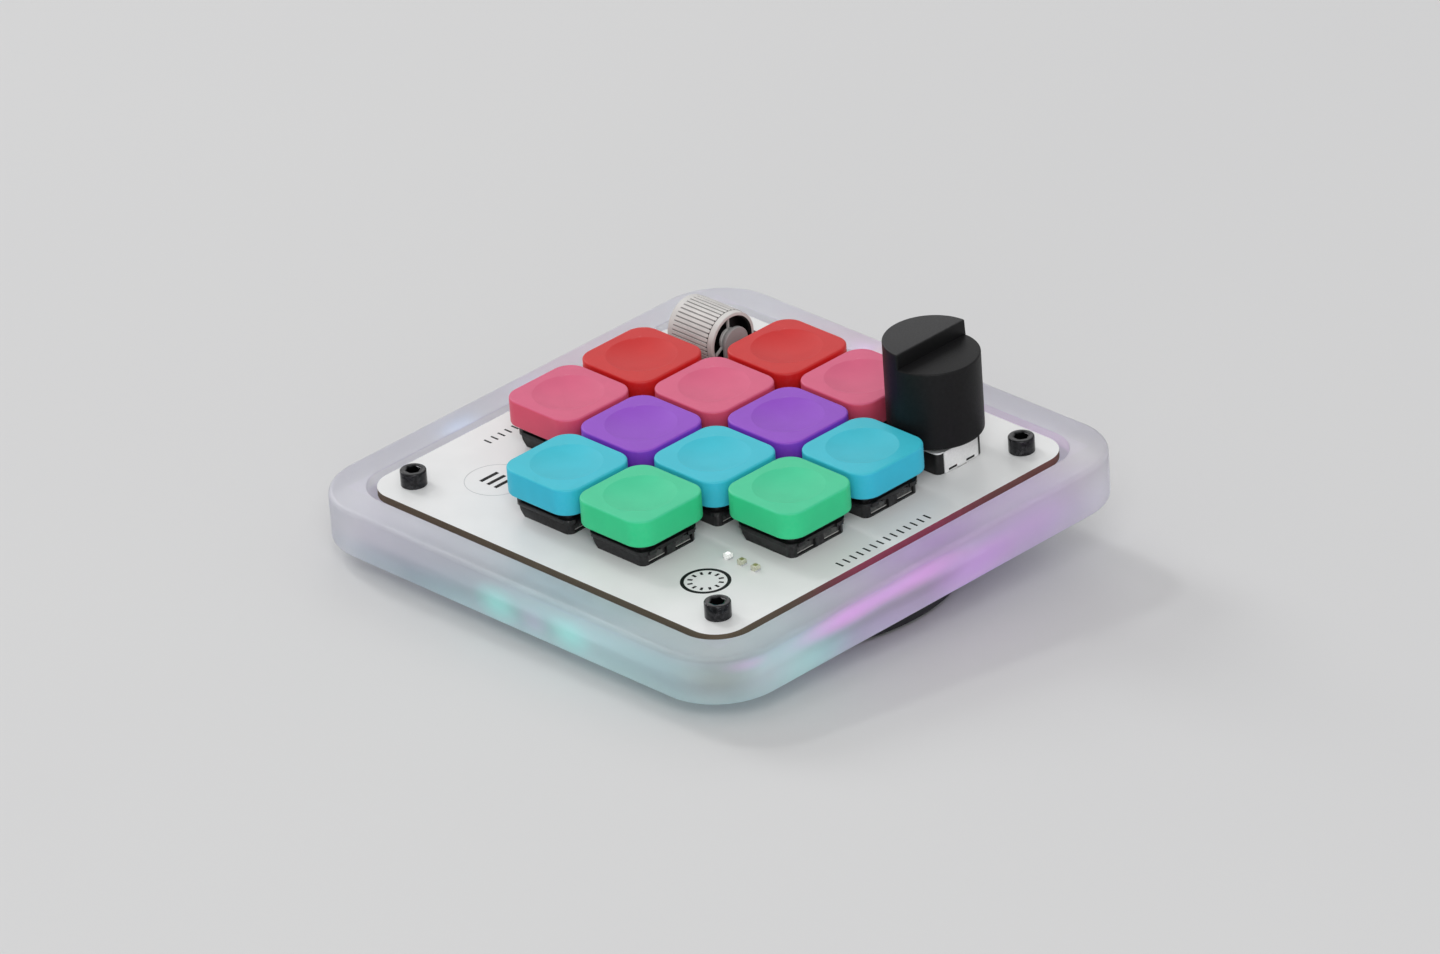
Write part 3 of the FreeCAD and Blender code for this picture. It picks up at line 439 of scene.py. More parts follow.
def makeBoardFinish(look):
    # white solder mask on both faces, brown glass-fibre core on the edge and in the holes
    finish, tree, shader, onBoard = newFinish("whiteBoard", {})
    x, y, z = axesOf(tree, onBoard)
    half = boardThick / 2
    depth = doMath(tree, "ABSOLUTE", doMath(tree, "ADD", z, half))
    onFace = ramp(tree, depth, half - look["maskEdge"], half - look["maskEdge"] / 3)
    layers = doMath(tree, "SINE", doMath(tree, "MULTIPLY", z, look["layers"]))
    core = mixTone(tree, ramp(tree, layers, -1.0, 1.0), look["coreDark"], look["core"])
    # painted pink light from the lamps below on the right edge
    litCore = mixTone(tree, ramp(tree, y, *look["redY"]), look["litCore"], look["redCore"])
    core = mixTone(tree, steps(tree, (x, look["litX"]), (y, look["litY"])), core, litCore)
    height, broad = grainOf(tree, onBoard, look["grain"])
    mask = mixTone(tree, ramp(tree, broad, *look["uneven"]), look["mask"],
                   dimmer(look["mask"], look["maskDark"]))
    dress(tree, shader, mixTone(tree, onFace, core, mask), ramp(tree, onFace, *look["gloss"]), height,
          *look["bump"])
    return finish


knobLook = {"side": tone(14, 14, 15), "step": tone(22, 22, 23), "top": tone(48, 48, 49),
            "worn": tone(84, 84, 86), "wear": 0.12, "grain": 3.6, "topZ": (22.5, 23.5), "upward": (0.6, 0.95),
            "gloss": (0.2, 0.8, 0.44, 0.56), "specular": 0.2, "bump": (0.35, 0.03)}


def makeKnobFinish(look):
    # matt black with a spark-eroded grain; a painted sheen makes the faces that look up paler than the sides,
    # most on the top, and the lower step keeps a painted shade from the ridge
    finish, tree, shader, onBoard = newFinish("knobBlack", {"Specular IOR Level": look["specular"]})
    height = grainOf(tree, onBoard, look["grain"])[0]
    # the top above the step gets the painted sheen, the step beside the ridge the painted shade
    litTop = ramp(tree, axesOf(tree, onBoard)[2], *look["topZ"])
    flat = mixTone(tree, litTop, look["step"], look["top"])
    base = mixTone(tree, upward(tree, *look["upward"]), look["side"], flat)
    base = rubbed(tree, onBoard, base, look["wear"], look["worn"])
    dress(tree, shader, base, ramp(tree, height, *look["gloss"]), height, *look["bump"])
    return finish


windowLook = {"dark": tone(44, 44, 45), "hazy": tone(70, 70, 69), "lit": tone(186, 186, 182),
              "litZ": (0.7, 0.52), "coat": 0.25, "coatRough": 0.08, "noise": (0.9, 2.0), "haze": (0.35, 0.65),
              "gloss": (0.3, 0.7, 0.14, 0.26)}


def makeWindowFinish(look):
    # smoky clear plastic: dark, with painted light along its lower edge
    finish, tree, shader, onBoard = newFinish("smokyWindow", {
        "Coat Weight": look["coat"], "Coat Roughness": look["coatRough"]})
    haze = noise(tree, onBoard, *look["noise"])
    dark = mixTone(tree, ramp(tree, haze, *look["haze"]), look["dark"], look["hazy"])
    paintedLightEdge = ramp(tree, axesOf(tree, onBoard)[2], *look["litZ"])
    dress(tree, shader, mixTone(tree, paintedLightEdge, dark, look["lit"]), ramp(tree, haze, *look["gloss"]))
    return finish


drumShape = {"band": 1.35, "bandDrop": 0.12, "ribs": 40, "grooveDeep": 0.2, "grooveWide": 0.26, "bore": 4.85,
             "web": 0.7, "webInset": 3.4, "hub": 2.2, "hubInset": 0.9, "spokes": 3, "spokeThick": 0.42,
             "spokeLong": 0.5, "edge": 0.12, "lining": 0.12, "liningDeep": 2.6, "segments": 120,
             "hubSegments": 64, "liningSegments": 96}
# the groove tones and the hollow tone are painted shade in the grooves and the bore
rollerLook = {"shell": tone(208, 205, 202), "shade": tone(196, 193, 191), "groove": tone(150, 147, 146),
              "grooveEnd": tone(18, 18, 19), "hollow": tone(12, 12, 13), "uneven": (0.3, 0.7),
              "grooveFrom": 0.35, "grooveFull": 0.7, "endFrom": 4.0, "endFull": 3.0, "grain": 6.0,
              "gloss": (0.2, 0.8, 0.45, 0.55), "bump": (0.12, 0.01)}


def makeRollerFinish(look, shape, low, high):
    # light grey shell with painted shade: dark in its grooves, darkest where they end, and black inside
    finish, tree, shader, onBoard = newFinish("rollerGrey", {})
    radius, ribbed = (high.z - low.z) / 2, (high.x - low.x) / 2 - shape["band"]
    edge, deep, bore = shape["edge"], shape["grooveDeep"], shape["bore"]
    x, y, z = axesOf(tree, vectorMath(tree, "SUBTRACT", onBoard, (low + high) / 2))
    flat = addNode(tree, "ShaderNodeCombineXYZ", {"Y": y, "Z": z}).outputs[0]
    far = vectorMath(tree, "LENGTH", flat, output="Value")
    height, broad = grainOf(tree, onBoard, look["grain"])
    shell = mixTone(tree, ramp(tree, broad, *look["uneven"]), look["shade"], look["shell"])
    inGroove = steps(tree, (far, (radius - deep * look["grooveFrom"], radius - deep * look["grooveFull"])),
                     (doMath(tree, "ABSOLUTE", x), (ribbed + edge, ribbed)))
    atEnd = ramp(tree, x, ribbed - look["endFrom"] * edge, ribbed - look["endFull"] * edge)
    base = mixTone(tree, inGroove, shell, mixTone(tree, atEnd, look["groove"], look["grooveEnd"]))
    # painted shade: black inside the bore
    base = mixTone(tree, ramp(tree, far, bore + edge, bore + edge / 2), base, look["hollow"])
    dress(tree, shader, base, ramp(tree, height, *look["gloss"]), height, *look["bump"])
    return finish


capLook = {"shade": (0.96, 0.96, 0.96, 1.0), "uneven": (0.3, 0.7), "upward": (0.2, 0.8), "grain": 7.0,
           "gloss": (0.25, 0.75, 0.44, 0.52), "specular": 0.3, "haze": 0.03, "hazeTone": (1.0, 1.0, 1.0, 1.0),
           "bump": (0.12, 0.012)}
# each cap colour as a top and a side tone: the paler top holds a painted sheen from the light above
capTones = {"red": (tone(200, 42, 42), tone(206, 30, 30)),
            "pink": (tone(211, 94, 127), tone(220, 80, 107)),
            "purple": (tone(143, 73, 195), tone(132, 62, 200)),
            "blue": (tone(58, 188, 207), tone(52, 189, 217)),
            "green": (tone(66, 200, 150), tone(50, 206, 141))}


def makeCapFinish(name, look, top, side):
    # soft moulded caps: a painted sheen makes the tops paler than the deeper sides, and a breath of pale haze
    # lies on the rubbed edges
    finish, tree, shader, onBoard = newFinish(name, {"Specular IOR Level": look["specular"]})
    height, broad = grainOf(tree, onBoard, look["grain"])
    base = mixTone(tree, upward(tree, *look["upward"]), side, top)
    darker = mixTone(tree, 1.0, base, look["shade"], "MULTIPLY")
    base = mixTone(tree, ramp(tree, broad, *look["uneven"]), darker, base)
    base = rubbed(tree, onBoard, base, look["haze"], look["hazeTone"])
    dress(tree, shader, base, ramp(tree, height, *look["gloss"]), height, *look["bump"])
    return finish


lampLook = {"rough": 0.35, "noise": (2.5, 3.0), "cloud": (0.35, 0.65), "dim": 0.7, "lit": (0.3, 0.7),
            "litDim": 0.8}
black, white = (0.0, 0.0, 0.0, 1.0), (1.0, 1.0, 1.0, 1.0)


def makeLampFinish(name, look, body, glow, strength):
    finish, tree, shader, onBoard = newFinish(name, {
        "Roughness": look["rough"], "Emission Strength": strength})
    cloud = noise(tree, onBoard, *look["noise"])
    base = mixTone(tree, ramp(tree, cloud, *look["cloud"]), dimmer(body, look["dim"]), body)
    light = mixTone(tree, ramp(tree, cloud, *look["lit"]), dimmer(glow, look["litDim"]), glow)
    tree.links.new(base, shader.inputs["Base Color"])
    tree.links.new(light, shader.inputs["Emission Color"])
    return finish


print("finishes")
capFinishes = {name: makeCapFinish(name + "Cap", capLook, *tones) for name, tones in capTones.items()}
trayFinish = makeTrayFinish(trayLook)
boardFinish = makeBoardFinish(boardLook)
windowFinish = makeWindowFinish(windowLook)
inkFinish = mouldedPlastic("printInk", tone(14, 14, 15), 0.55, grain=8.0, deep=0.004,
                           sockets={"Specular IOR Level": 0.2})
paleInkFinish = mouldedPlastic("paleInk", tone(196, 198, 200), 0.55, grain=8.0, deep=0.004)
switchFinish = mouldedPlastic("switchBlack", tone(15, 15, 16), 0.34, grain=1.2, bump=0.08, deep=0.01,
                              wear=0.2, wearColour=tone(70, 70, 73), sockets={"Specular IOR Level": 0.4})
knobFinish = makeKnobFinish(knobLook)
screwFinish = mouldedPlastic("screwBlack", tone(20, 20, 22), 0.2, grain=2.5, bump=0.1, deep=0.008, wear=0.25,
                             wearColour=tone(110, 110, 114), sockets={"Metallic": 0.6})
footFinish = mouldedPlastic("footBlack", tone(30, 31, 33), 0.55, grain=6.0, bump=0.3, deep=0.03)
padFinish = mouldedPlastic("footRubber", tone(24, 24, 25), 0.85, grain=2.2, bump=0.5, deep=0.06)
rollerFinish = makeRollerFinish(rollerLook, drumShape, *boardBox("roller_drum"))
spokeFinish = mouldedPlastic("spokeGrey", tone(200, 197, 195), 0.45, grain=8.0, bump=0.1, deep=0.01,
                             shade=0.05)
armFinish = mouldedPlastic("armGrey", tone(158, 155, 155), 0.42, grain=8.0, bump=0.1, deep=0.01, shade=0.08)
mouldingFinish = mouldedPlastic("blackMoulding", tone(13, 13, 14), 0.42, grain=3.0, bump=0.12, deep=0.01,
                                wear=0.15, wearColour=tone(62, 62, 64), sockets={"Specular IOR Level": 0.35})
stemFinish = mouldedPlastic("stemBrown", tone(118, 74, 44), 0.4, grain=6.0, deep=0.01)
chipFinish = mouldedPlastic("chipBlack", tone(30, 30, 32), 0.6, grain=12.0, bump=0.4, deep=0.02, shade=0.3)
steelFinish = brushedMetal("zincSteel", tone(226, 227, 230), 0.28)
plateFinish = brushedMetal("tinPlate", tone(250, 250, 250), 0.46, scale=2.0, shade=0.06, metal=0.5)
springFinish = brushedMetal("springSteel", tone(200, 202, 205), 0.3)
brassFinish = brushedMetal("brass", tone(214, 176, 102), 0.3)
bronzeFinish = brushedMetal("bronzeLeaf", tone(206, 150, 100), 0.32)
lampBodyFinish = makeLampFinish("lampBody", lampLook, tone(206, 208, 186), black, 0.0)
lampOffFinish = makeLampFinish("lampYellow", lampLook, tone(140, 140, 84), black, 0.0)
lampOnFinish = makeLampFinish("lampLit", lampLook, white, white, 1.0)
lampCupFinish = makeLampFinish("lampCup", lampLook, tone(232, 233, 230), white, 0.25)
underGlowFinish = makeLampFinish("underglow", lampLook, tone(240, 240, 250), tone(210, 220, 255), 2.0)

# Carried-over CAD pieces get the finish of their real counterpart
cadFinishes = {
    "circuit_board": boardFinish, "threaded_inserts": brassFinish, "foot_wedge": footFinish,
    "foot_pad": padFinish, "foot_screws": screwFinish, "case_screws": screwFinish, "case_tray": trayFinish,
    "switch_bases": switchFinish, "switch_windows": windowFinish, "switch_covers": switchFinish,
    "switch_contacts": bronzeFinish, "switch_springs": springFinish, "switch_sockets": mouldingFinish,
    "encoder_base": mouldingFinish, "encoder_cover": plateFinish, "encoder_bush": steelFinish,
    "encoder_pins": steelFinish, "roller_frame": mouldingFinish, "roller_pins": steelFinish,
    "indicator_leds": lampBodyFinish, "underglow_leds": underGlowFinish, "controller_chip": chipFinish,
    "support_chips": chipFinish, "inlet_shell": steelFinish, "inlet_tongue": mouldingFinish,
    "knob": knobFinish, "knob_shaft": steelFinish, "encoder_plunger": mouldingFinish,
    "roller_drum": rollerFinish, "roller_axle": steelFinish, "roller_arm": armFinish}
capNames = {"r1c2": "red", "r2c1": "red", "r1c3": "pink", "r2c2": "pink", "r3c1": "pink",
            "r2c3": "purple", "r3c2": "purple", "r2c4": "blue", "r3c3": "blue", "r4c2": "blue",
            "r3c4": "green", "r4c3": "green"}
for name, node in nodes.items():
    if name.startswith("stem_"):
        finish = stemFinish
    elif name.startswith("keycap_"):
        finish = capFinishes[capNames[name.split("_")[1]]]
    else:
        finish = cadFinishes[name]
    for slot in node.material_slots:
        slot.material = finish

# Mesh helpers, in the board's millimetres
def roundedRing(wide, deep, corner, z, cornerSteps=10, sideSteps=4):
    # a rectangle with round corners, anticlockwise from the right end of its rear edge
    points = []
    turns = ((1, 1), (-1, 1), (-1, -1), (1, -1))
    for i, (sx, sy) in enumerate(turns):
        x, y = sx * (wide / 2 - corner), sy * (deep / 2 - corner)
        for k in range(cornerSteps + 1):
            a = math.pi / 2 * (i + k / cornerSteps)
            points.append(Vector((x + corner * math.cos(a), y + corner * math.sin(a), z)))
        nextSx, nextSy = turns[(i + 1) % 4]
        a = math.pi / 2 * (i + 1)
        start = points[-1]
        end = Vector((nextSx * (wide / 2 - corner) + corner * math.cos(a),
                      nextSy * (deep / 2 - corner) + corner * math.sin(a), z))
        points += [start.lerp(end, k / sideSteps) for k in range(1, sideSteps)]
    return points


def circleRing(radius, z, count=64, x0=0.0, y0=0.0):
    steps = [2 * math.pi * i / count for i in range(count)]
    return [Vector((x0 + radius * math.cos(a), y0 + radius * math.sin(a), z)) for a in steps]


def quarterRound(radius, steps=4):
    # (inwards, upwards) along a quarter circle that starts on the side and ends on the top
    angles = [math.pi / 2 * k / steps for k in range(steps + 1)]
    return [(radius * (1 - math.cos(a)), radius * math.sin(a)) for a in angles]


def meshOf(work, name):
    mesh = bpy.data.meshes.new(name)
    work.to_mesh(mesh)
    work.free()
    return mesh


def outwards(mesh):
    work = bmesh.new()
    work.from_mesh(mesh)
    bmesh.ops.remove_doubles(work, verts=work.verts, dist=1e-5)
    bmesh.ops.recalc_face_normals(work, faces=work.faces)
    work.to_mesh(mesh)
    work.free()
    return mesh


def skinRings(name, rings, start=None, end=None, joined=False):
    # start and end are the points that close the first and the last ring
    count = len(rings[0])
    points = [p for ring in rings for p in ring]
    faces = []
    for r in range(len(rings) - (0 if joined else 1)):
        low, high = r * count, (r + 1) % len(rings) * count
        for i in range(count):
            j = (i + 1) % count
            faces.append((low + i, low + j, high + j, high + i))
    for tip, base in ((start, 0), (end, (len(rings) - 1) * count)):
        if tip is not None:
            points.append(Vector(tip))
            faces += [(base + i, base + (i + 1) % count, len(points) - 1) for i in range(count)]
    mesh = bpy.data.meshes.new(name)
    mesh.from_pydata(points, [], faces)
    return outwards(mesh)


def turned(name, profile, count, place=(0.0, 0.0), **ends):
    # a turned part from its (radius, height) profile
    return skinRings(name, [circleRing(r, z, count, *place) for r, z in profile], **ends)


def blockMesh(name, low, high, soften, steps=2):
    # a box with rounded edges
    work = bmesh.new()
    bmesh.ops.create_cube(work, size=1.0)
    low, high = Vector(low), Vector(high)
    for v in work.verts:
        v.co = Vector([low[i] + (v.co[i] + 0.5) * (high[i] - low[i]) for i in range(3)])
    bmesh.ops.bevel(work, geom=work.edges[:], offset=soften, segments=steps, profile=0.5, affect="EDGES")
    return outwards(meshOf(work, name))


def joinMeshes(name, meshes):
    work = bmesh.new()
    for mesh in meshes:
        work.from_mesh(mesh)
        bpy.data.meshes.remove(mesh)
    return meshOf(work, name)


def finishedMesh(carrier, helper):
    # the plain mesh that the carrier's modifier makes; both objects go
    bpy.context.view_layer.update()
    mesh = bpy.data.meshes.new_from_object(carrier.evaluated_get(bpy.context.evaluated_depsgraph_get()))
    for item in (carrier, helper):
        bpy.data.objects.remove(item)
    return mesh


def lyingAlongX(mesh, middle):
    # turns a piece that was made round Z so that its axis lies along X, through middle
    mesh.transform(Matrix.Translation(middle) @ Matrix.Rotation(math.pi / 2, 4, "Y"))
    return mesh


def addPiece(name, mesh, finish, body, replaced=(), hardAngle=40.0):
    mesh.transform(boardToDesk)
    mesh.materials.clear()
    mesh.materials.append(finish)
    mesh.polygons.foreach_set("use_smooth", [True] * len(mesh.polygons))
    mesh.polygons.foreach_set("material_index", [0] * len(mesh.polygons))
    mesh.set_sharp_from_angle(angle=math.radians(hardAngle))
    piece = newObject(name, mesh)
    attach(piece, body)
    if replaced:
        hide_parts(*replaced)
    return piece


copyPlan = {"merge": 0.002, "flat": 0.6, "sharp": 32.0}
softening = {"roller_arm": (0.14, 3), "roller_frame": (0.1, 2), "switch_bases": (0.09, 2),
             "switch_covers": (0.08, 2), "encoder_base": (0.1, 2), "encoder_cover": (0.04, 2),
             "foot_wedge": (0.5, 3), "foot_pad": (0.2, 2)}


def softenedPiece(name, node, body):
    # a CAD piece's mesh with its loose triangles merged and its sharp edges rounded
    width, segments = softening[node]
    mesh = nodes[node].data.copy()
    mesh.transform(deskToBoard)
    work = bmesh.new()
    work.from_mesh(mesh)
    bmesh.ops.remove_doubles(work, verts=work.verts, dist=copyPlan["merge"])
    bmesh.ops.dissolve_limit(work, angle_limit=math.radians(copyPlan["flat"]), verts=work.verts,
                             edges=work.edges)
    limit = math.radians(copyPlan["sharp"])
    sharp = [e for e in work.edges if e.is_manifold and e.calc_face_angle(0.0) > limit]
    bmesh.ops.bevel(work, geom=sharp, offset=width, segments=segments, profile=0.5, affect="EDGES",
                    clamp_overlap=True)
    work.to_mesh(mesh)
    work.free()
    addPiece(name, mesh, cadFinishes[node], body, [node])


# Geometry Nodes: copies at points, copies round an axis, and a wound wire
def newTree(name, sockets):
    tree = bpy.data.node_groups.new(name, "GeometryNodeTree")
    tree.interface.new_socket("Geometry", in_out="INPUT", socket_type="NodeSocketGeometry")
    for label, kind, value in sockets:
        socket = tree.interface.new_socket(label, in_out="INPUT", socket_type="NodeSocket" + kind)
        if value is not None:
            socket.default_value = value
    tree.interface.new_socket("Geometry", in_out="OUTPUT", socket_type="NodeSocketGeometry")
    return tree, tree.nodes.new("NodeGroupInput"), tree.nodes.new("NodeGroupOutput")


def closeTree(tree, start, end, geometry):
    real = addNode(tree, "GeometryNodeRealizeInstances", {"Geometry": geometry})
    dressed = addNode(tree, "GeometryNodeSetMaterial", {"Geometry": real.outputs["Geometry"],
                                                        "Material": start.outputs["Finish"]})
    tree.links.new(dressed.outputs["Geometry"], end.inputs["Geometry"])
    return tree


def makePointsTree():
    # one copy of the piece at each point of the mesh
    tree, start, end = newTree("copiesAtPoints", [("Piece", "Object", None), ("Finish", "Material", None)])
    piece = addNode(tree, "GeometryNodeObjectInfo", {"Object": start.outputs["Piece"]})
    copies = addNode(tree, "GeometryNodeInstanceOnPoints", {"Points": start.outputs["Geometry"],
                                                            "Instance": piece.outputs["Geometry"]})
    return closeTree(tree, start, end, copies.outputs["Instances"])


def makeRoundTree():
    # copies round an axis, each turned to face away from it, beside the mesh that is already there
    tree, start, end = newTree("copiesRoundAxis", [
        ("Piece", "Object", None), ("Finish", "Material", None), ("Count", "Int", 12),
        ("Radius", "Float", 1.0), ("Middle", "Vector", (0.0, 0.0, 0.0)),
        ("Lean", "Rotation", (0.0, 0.0, 0.0))])
    given = start.outputs
    piece = addNode(tree, "GeometryNodeObjectInfo", {"Object": given["Piece"]})
    circle = addNode(tree, "GeometryNodeMeshCircle", {"Vertices": given["Count"], "Radius": given["Radius"]},
                     fill_type="NONE")
    place = addNode(tree, "GeometryNodeInputPosition").outputs["Position"]
    facing = addNode(tree, "FunctionNodeAlignRotationToVector", {"Vector": place}, axis="X", pivot_axis="Z")
    copies = addNode(tree, "GeometryNodeInstanceOnPoints", {
        "Points": circle.outputs["Mesh"], "Instance": piece.outputs["Geometry"],
        "Rotation": facing.outputs["Rotation"]})
    real = addNode(tree, "GeometryNodeRealizeInstances", {"Geometry": copies.outputs["Instances"]})
    moved = addNode(tree, "GeometryNodeTransform", {
        "Geometry": real.outputs["Geometry"], "Translation": given["Middle"], "Rotation": given["Lean"]})
    both = tree.nodes.new("GeometryNodeJoinGeometry")
    tree.links.new(given["Geometry"], both.inputs["Geometry"])
    tree.links.new(moved.outputs["Geometry"], both.inputs["Geometry"])
    return closeTree(tree, start, end, both.outputs["Geometry"])


def makeCoilTree():
    # a wire wound round Z, from the carrier's origin upwards
    tree, start, end = newTree("wireCoil", [
        ("Turns", "Float", 5.0), ("Radius", "Float", 1.0), ("Height", "Float", 4.0), ("Wire", "Float", 0.1),
        ("Steps", "Int", 32), ("Sides", "Int", 8), ("Finish", "Material", None)])
    given = start.outputs
    path = addNode(tree, "GeometryNodeCurveSpiral", {
        "Resolution": given["Steps"], "Rotations": given["Turns"], "Start Radius": given["Radius"],
        "End Radius": given["Radius"], "Height": given["Height"]})
    section = addNode(tree, "GeometryNodeCurvePrimitiveCircle", {
        "Resolution": given["Sides"], "Radius": given["Wire"]})
    wire = addNode(tree, "GeometryNodeCurveToMesh", {
        "Curve": path.outputs["Curve"], "Profile Curve": section.outputs["Curve"], "Fill Caps": True})
    return closeTree(tree, start, end, wire.outputs["Mesh"])


pointsTree = makePointsTree()
roundTree = makeRoundTree()
coilTree = makeCoilTree()


def runTree(name, base, tree, copied, values):
    # the plain mesh that a tree makes of a base mesh and, where it copies one, a piece
    source, carrier = newObject(name + "Source", copied), newObject(name + "Carrier", base)
    modifier = carrier.modifiers.new(tree.name, "NODES")
    modifier.node_group = tree
    values = dict(values, Piece=source)
    for item in tree.interface.items_tree:
        if item.item_type == "SOCKET" and item.in_out == "INPUT" and item.name in values:
            modifier[item.identifier] = values[item.name]
    carrier.update_tag()
    mesh = finishedMesh(carrier, source)
    mesh.name = name
    return mesh


def pointMesh(name, points):
    mesh = bpy.data.meshes.new(name)
    mesh.from_pydata([Vector(p) for p in points], [], [])
    return mesh


# Tray: one frosted shell with a pocket for the board and a way in for the cable plug
trayShape = {"corner": 13.2, "wall": 6.6, "floor": 2.0, "pocketCorner": 7.9, "topRound": 1.0,
             "bottomRound": 0.8, "lipRound": 0.3, "recessWide": 13.0, "recessHigh": 6.6, "recessCorner": 2.0,
             "recessFlare": 0.4, "plugHigh": 3.26, "cutOver": 1.0, "topSteps": 6, "cornerSteps": 20,
             "sideSteps": 6}


def makeTray(shape):
    low, high = boardBox("case_tray")
    side = high.x - low.x
    pocketSide = side - 2 * shape["wall"]
    rings = []

    def addRing(wide, corner, z):
        rings.append(roundedRing(wide, wide, corner, z, shape["cornerSteps"], shape["sideSteps"]))

    for inwards, upwards in reversed(quarterRound(shape["bottomRound"])):
        addRing(side - 2 * inwards, shape["corner"] - inwards, low.z + shape["bottomRound"] - upwards)
    for inwards, upwards in quarterRound(shape["topRound"], shape["topSteps"]):
        addRing(side - 2 * inwards, shape["corner"] - inwards, high.z - shape["topRound"] + upwards)
    lip = shape["lipRound"]
    for inwards, upwards in reversed(quarterRound(lip)):
        addRing(pocketSide + 2 * inwards, shape["pocketCorner"] + inwards, high.z - lip + upwards)
    pocketFloor = low.z + shape["floor"]
    for inwards, upwards in quarterRound(lip):
        addRing(pocketSide - 2 * inwards, shape["pocketCorner"] - inwards, pocketFloor + lip - upwards)
    shell = skinRings("trayShell", rings, start=(0.0, 0.0, low.z), end=(0.0, 0.0, pocketFloor))
    return cutInlet(shell, shape, high.y, pocketSide / 2)


def cutInlet(shell, shape, outerY, pocketY):
    inletLow, inletHigh = boardBox("inlet_shell")
    x0, z0 = (inletLow.x + inletHigh.x) / 2, inletLow.z + shape["plugHigh"] / 2
    over, lead = shape["cutOver"], shape["recessFlare"]
    rings = []
    for y, flare in ((pocketY - over, 0.0), (outerY - lead, 0.0), (outerY + over, over + lead)):
        flat = roundedRing(shape["recessWide"] + 2 * flare, shape["recessHigh"] + 2 * flare,
                           shape["recessCorner"] + flare, 0.0)
        rings.append([Vector((x0 + p.x, y, z0 + p.y)) for p in flat])
    plug = skinRings("inletCutter", rings, start=(x0, pocketY - over, z0), end=(x0, outerY + over, z0))
    cutter, carrier = newObject("inletCutter", plug), newObject("trayCarrier", shell)
    cut = carrier.modifiers.new("inlet", "BOOLEAN")
    cut.operation = "DIFFERENCE"
    cut.solver = "EXACT"
    cut.object = cutter
    return finishedMesh(carrier, cutter)


print("tray")
addPiece("tray_shell", makeTray(trayShape), trayFinish, "base", ["case_tray"])


# Keycaps: soft square caps with a round dish, hollow below, two prongs for the stem
capShape = {"corner": 3.85, "topRound": 0.4, "bottomRound": 0.35, "wall": 1.2, "roof": 1.97,
            "dishRadius": 6.75, "dishDeep": 1.0, "dishSoft": 0.015, "prongPlace": 2.85, "prongWide": 1.2,
            "prongDeep": 3.0, "prongLong": 2.75, "prongInto": 0.3, "roofReach": 1.0, "lead": 0.15,
            "leastCorner": 0.3, "topSteps": 6, "cornerSteps": 12, "sideSteps": 8, "blend": (0.25, 0.5, 0.75),
            "dishSteps": (0.85, 0.5, 0.25, 0.12, 0.05, 0.0, -0.05, -0.12, -0.25, -0.5, -0.9, -1.5, -2.3, -3.2,
                          -4.2, -5.2, -6.0)}


def makeCap(shape, low, high):
    # centred on the key's axis
    side = high.x - low.x
    roofZ = high.z - shape["roof"]
    ball = (shape["dishRadius"] ** 2 + shape["dishDeep"] ** 2) / (2 * shape["dishDeep"])

    def topZ(point):
        away = min(math.hypot(point.x, point.y), ball)
        deep = math.sqrt(ball ** 2 - away ** 2) - (ball - shape["dishDeep"])
        return high.z - (deep + math.hypot(deep, shape["dishSoft"])) / 2

    def ringAt(inwards, z):
        wide, corner = side - 2 * inwards, max(shape["corner"] - inwards, shape["leastCorner"])
        return roundedRing(wide, wide, corner, z, shape["cornerSteps"], shape["sideSteps"])

    wall, lead = shape["wall"], shape["lead"]
    rings = [ringAt(side / 2 - shape["roofReach"], roofZ), ringAt(wall, roofZ), ringAt(wall, low.z + lead),
             ringAt(wall - lead, low.z)]
    for inwards, upwards in reversed(quarterRound(shape["bottomRound"])):
        rings.append(ringAt(inwards, low.z + shape["bottomRound"] - upwards))
    for inwards, upwards in quarterRound(shape["topRound"], shape["topSteps"]):
        rings.append(ringAt(inwards, high.z - shape["topRound"] + upwards))
    rim = rings[-1]
    outer = shape["dishRadius"] + shape["dishSteps"][0]
    for share in shape["blend"]:
        rings.append([p.lerp(Vector((p.x, p.y, 0)).normalized() * outer, share) for p in rim])
    for reach in shape["dishSteps"]:
        radius = shape["dishRadius"] + reach
        rings.append([Vector((p.x, p.y, 0)).normalized() * radius for p in rim])
    for ring in rings[-len(shape["dishSteps"] + shape["blend"]):]:
        for p in ring:
            p.z = topZ(p)
    cap = skinRings("cap", rings, start=(0, 0, roofZ), end=(0, 0, topZ(Vector((0, 0, 0)))))
    prongs = []
    for way in (-1, 1):
        x = way * shape["prongPlace"]
        prongs.append(blockMesh(
            "prong", (x - shape["prongWide"] / 2, -shape["prongDeep"] / 2, roofZ - shape["prongLong"]),
            (x + shape["prongWide"] / 2, shape["prongDeep"] / 2, roofZ + shape["prongInto"]),
            shape["prongInto"] / 2))
    return joinMeshes("cap", [cap] + prongs)


print("keycaps")
capCorners = {place: boardBox("keycap_" + place) for place in capNames}
capMaster = makeCap(capShape, *capCorners["r2c2"])
for place, (low, high) in capCorners.items():
    mesh = capMaster.copy()
    mesh.transform(Matrix.Translation(((low.x + high.x) / 2, (low.y + high.y) / 2, 0.0)))
    addPiece("cap_" + place, mesh, capFinishes[capNames[place]], "key_" + place, ["keycap_" + place])
bpy.data.meshes.remove(capMaster)


# Knob: a turned post with a half-moon ridge to grip and read
knobShape = {"shy": 0.006, "stepDown": 3.0, "round": 0.3, "roundSteps": 4, "lowRound": 0.6, "lowSteps": 5,
             "sharp": 30.0, "skirt": 1.6, "hollow": 4.0, "segments": 128, "digits": 5}


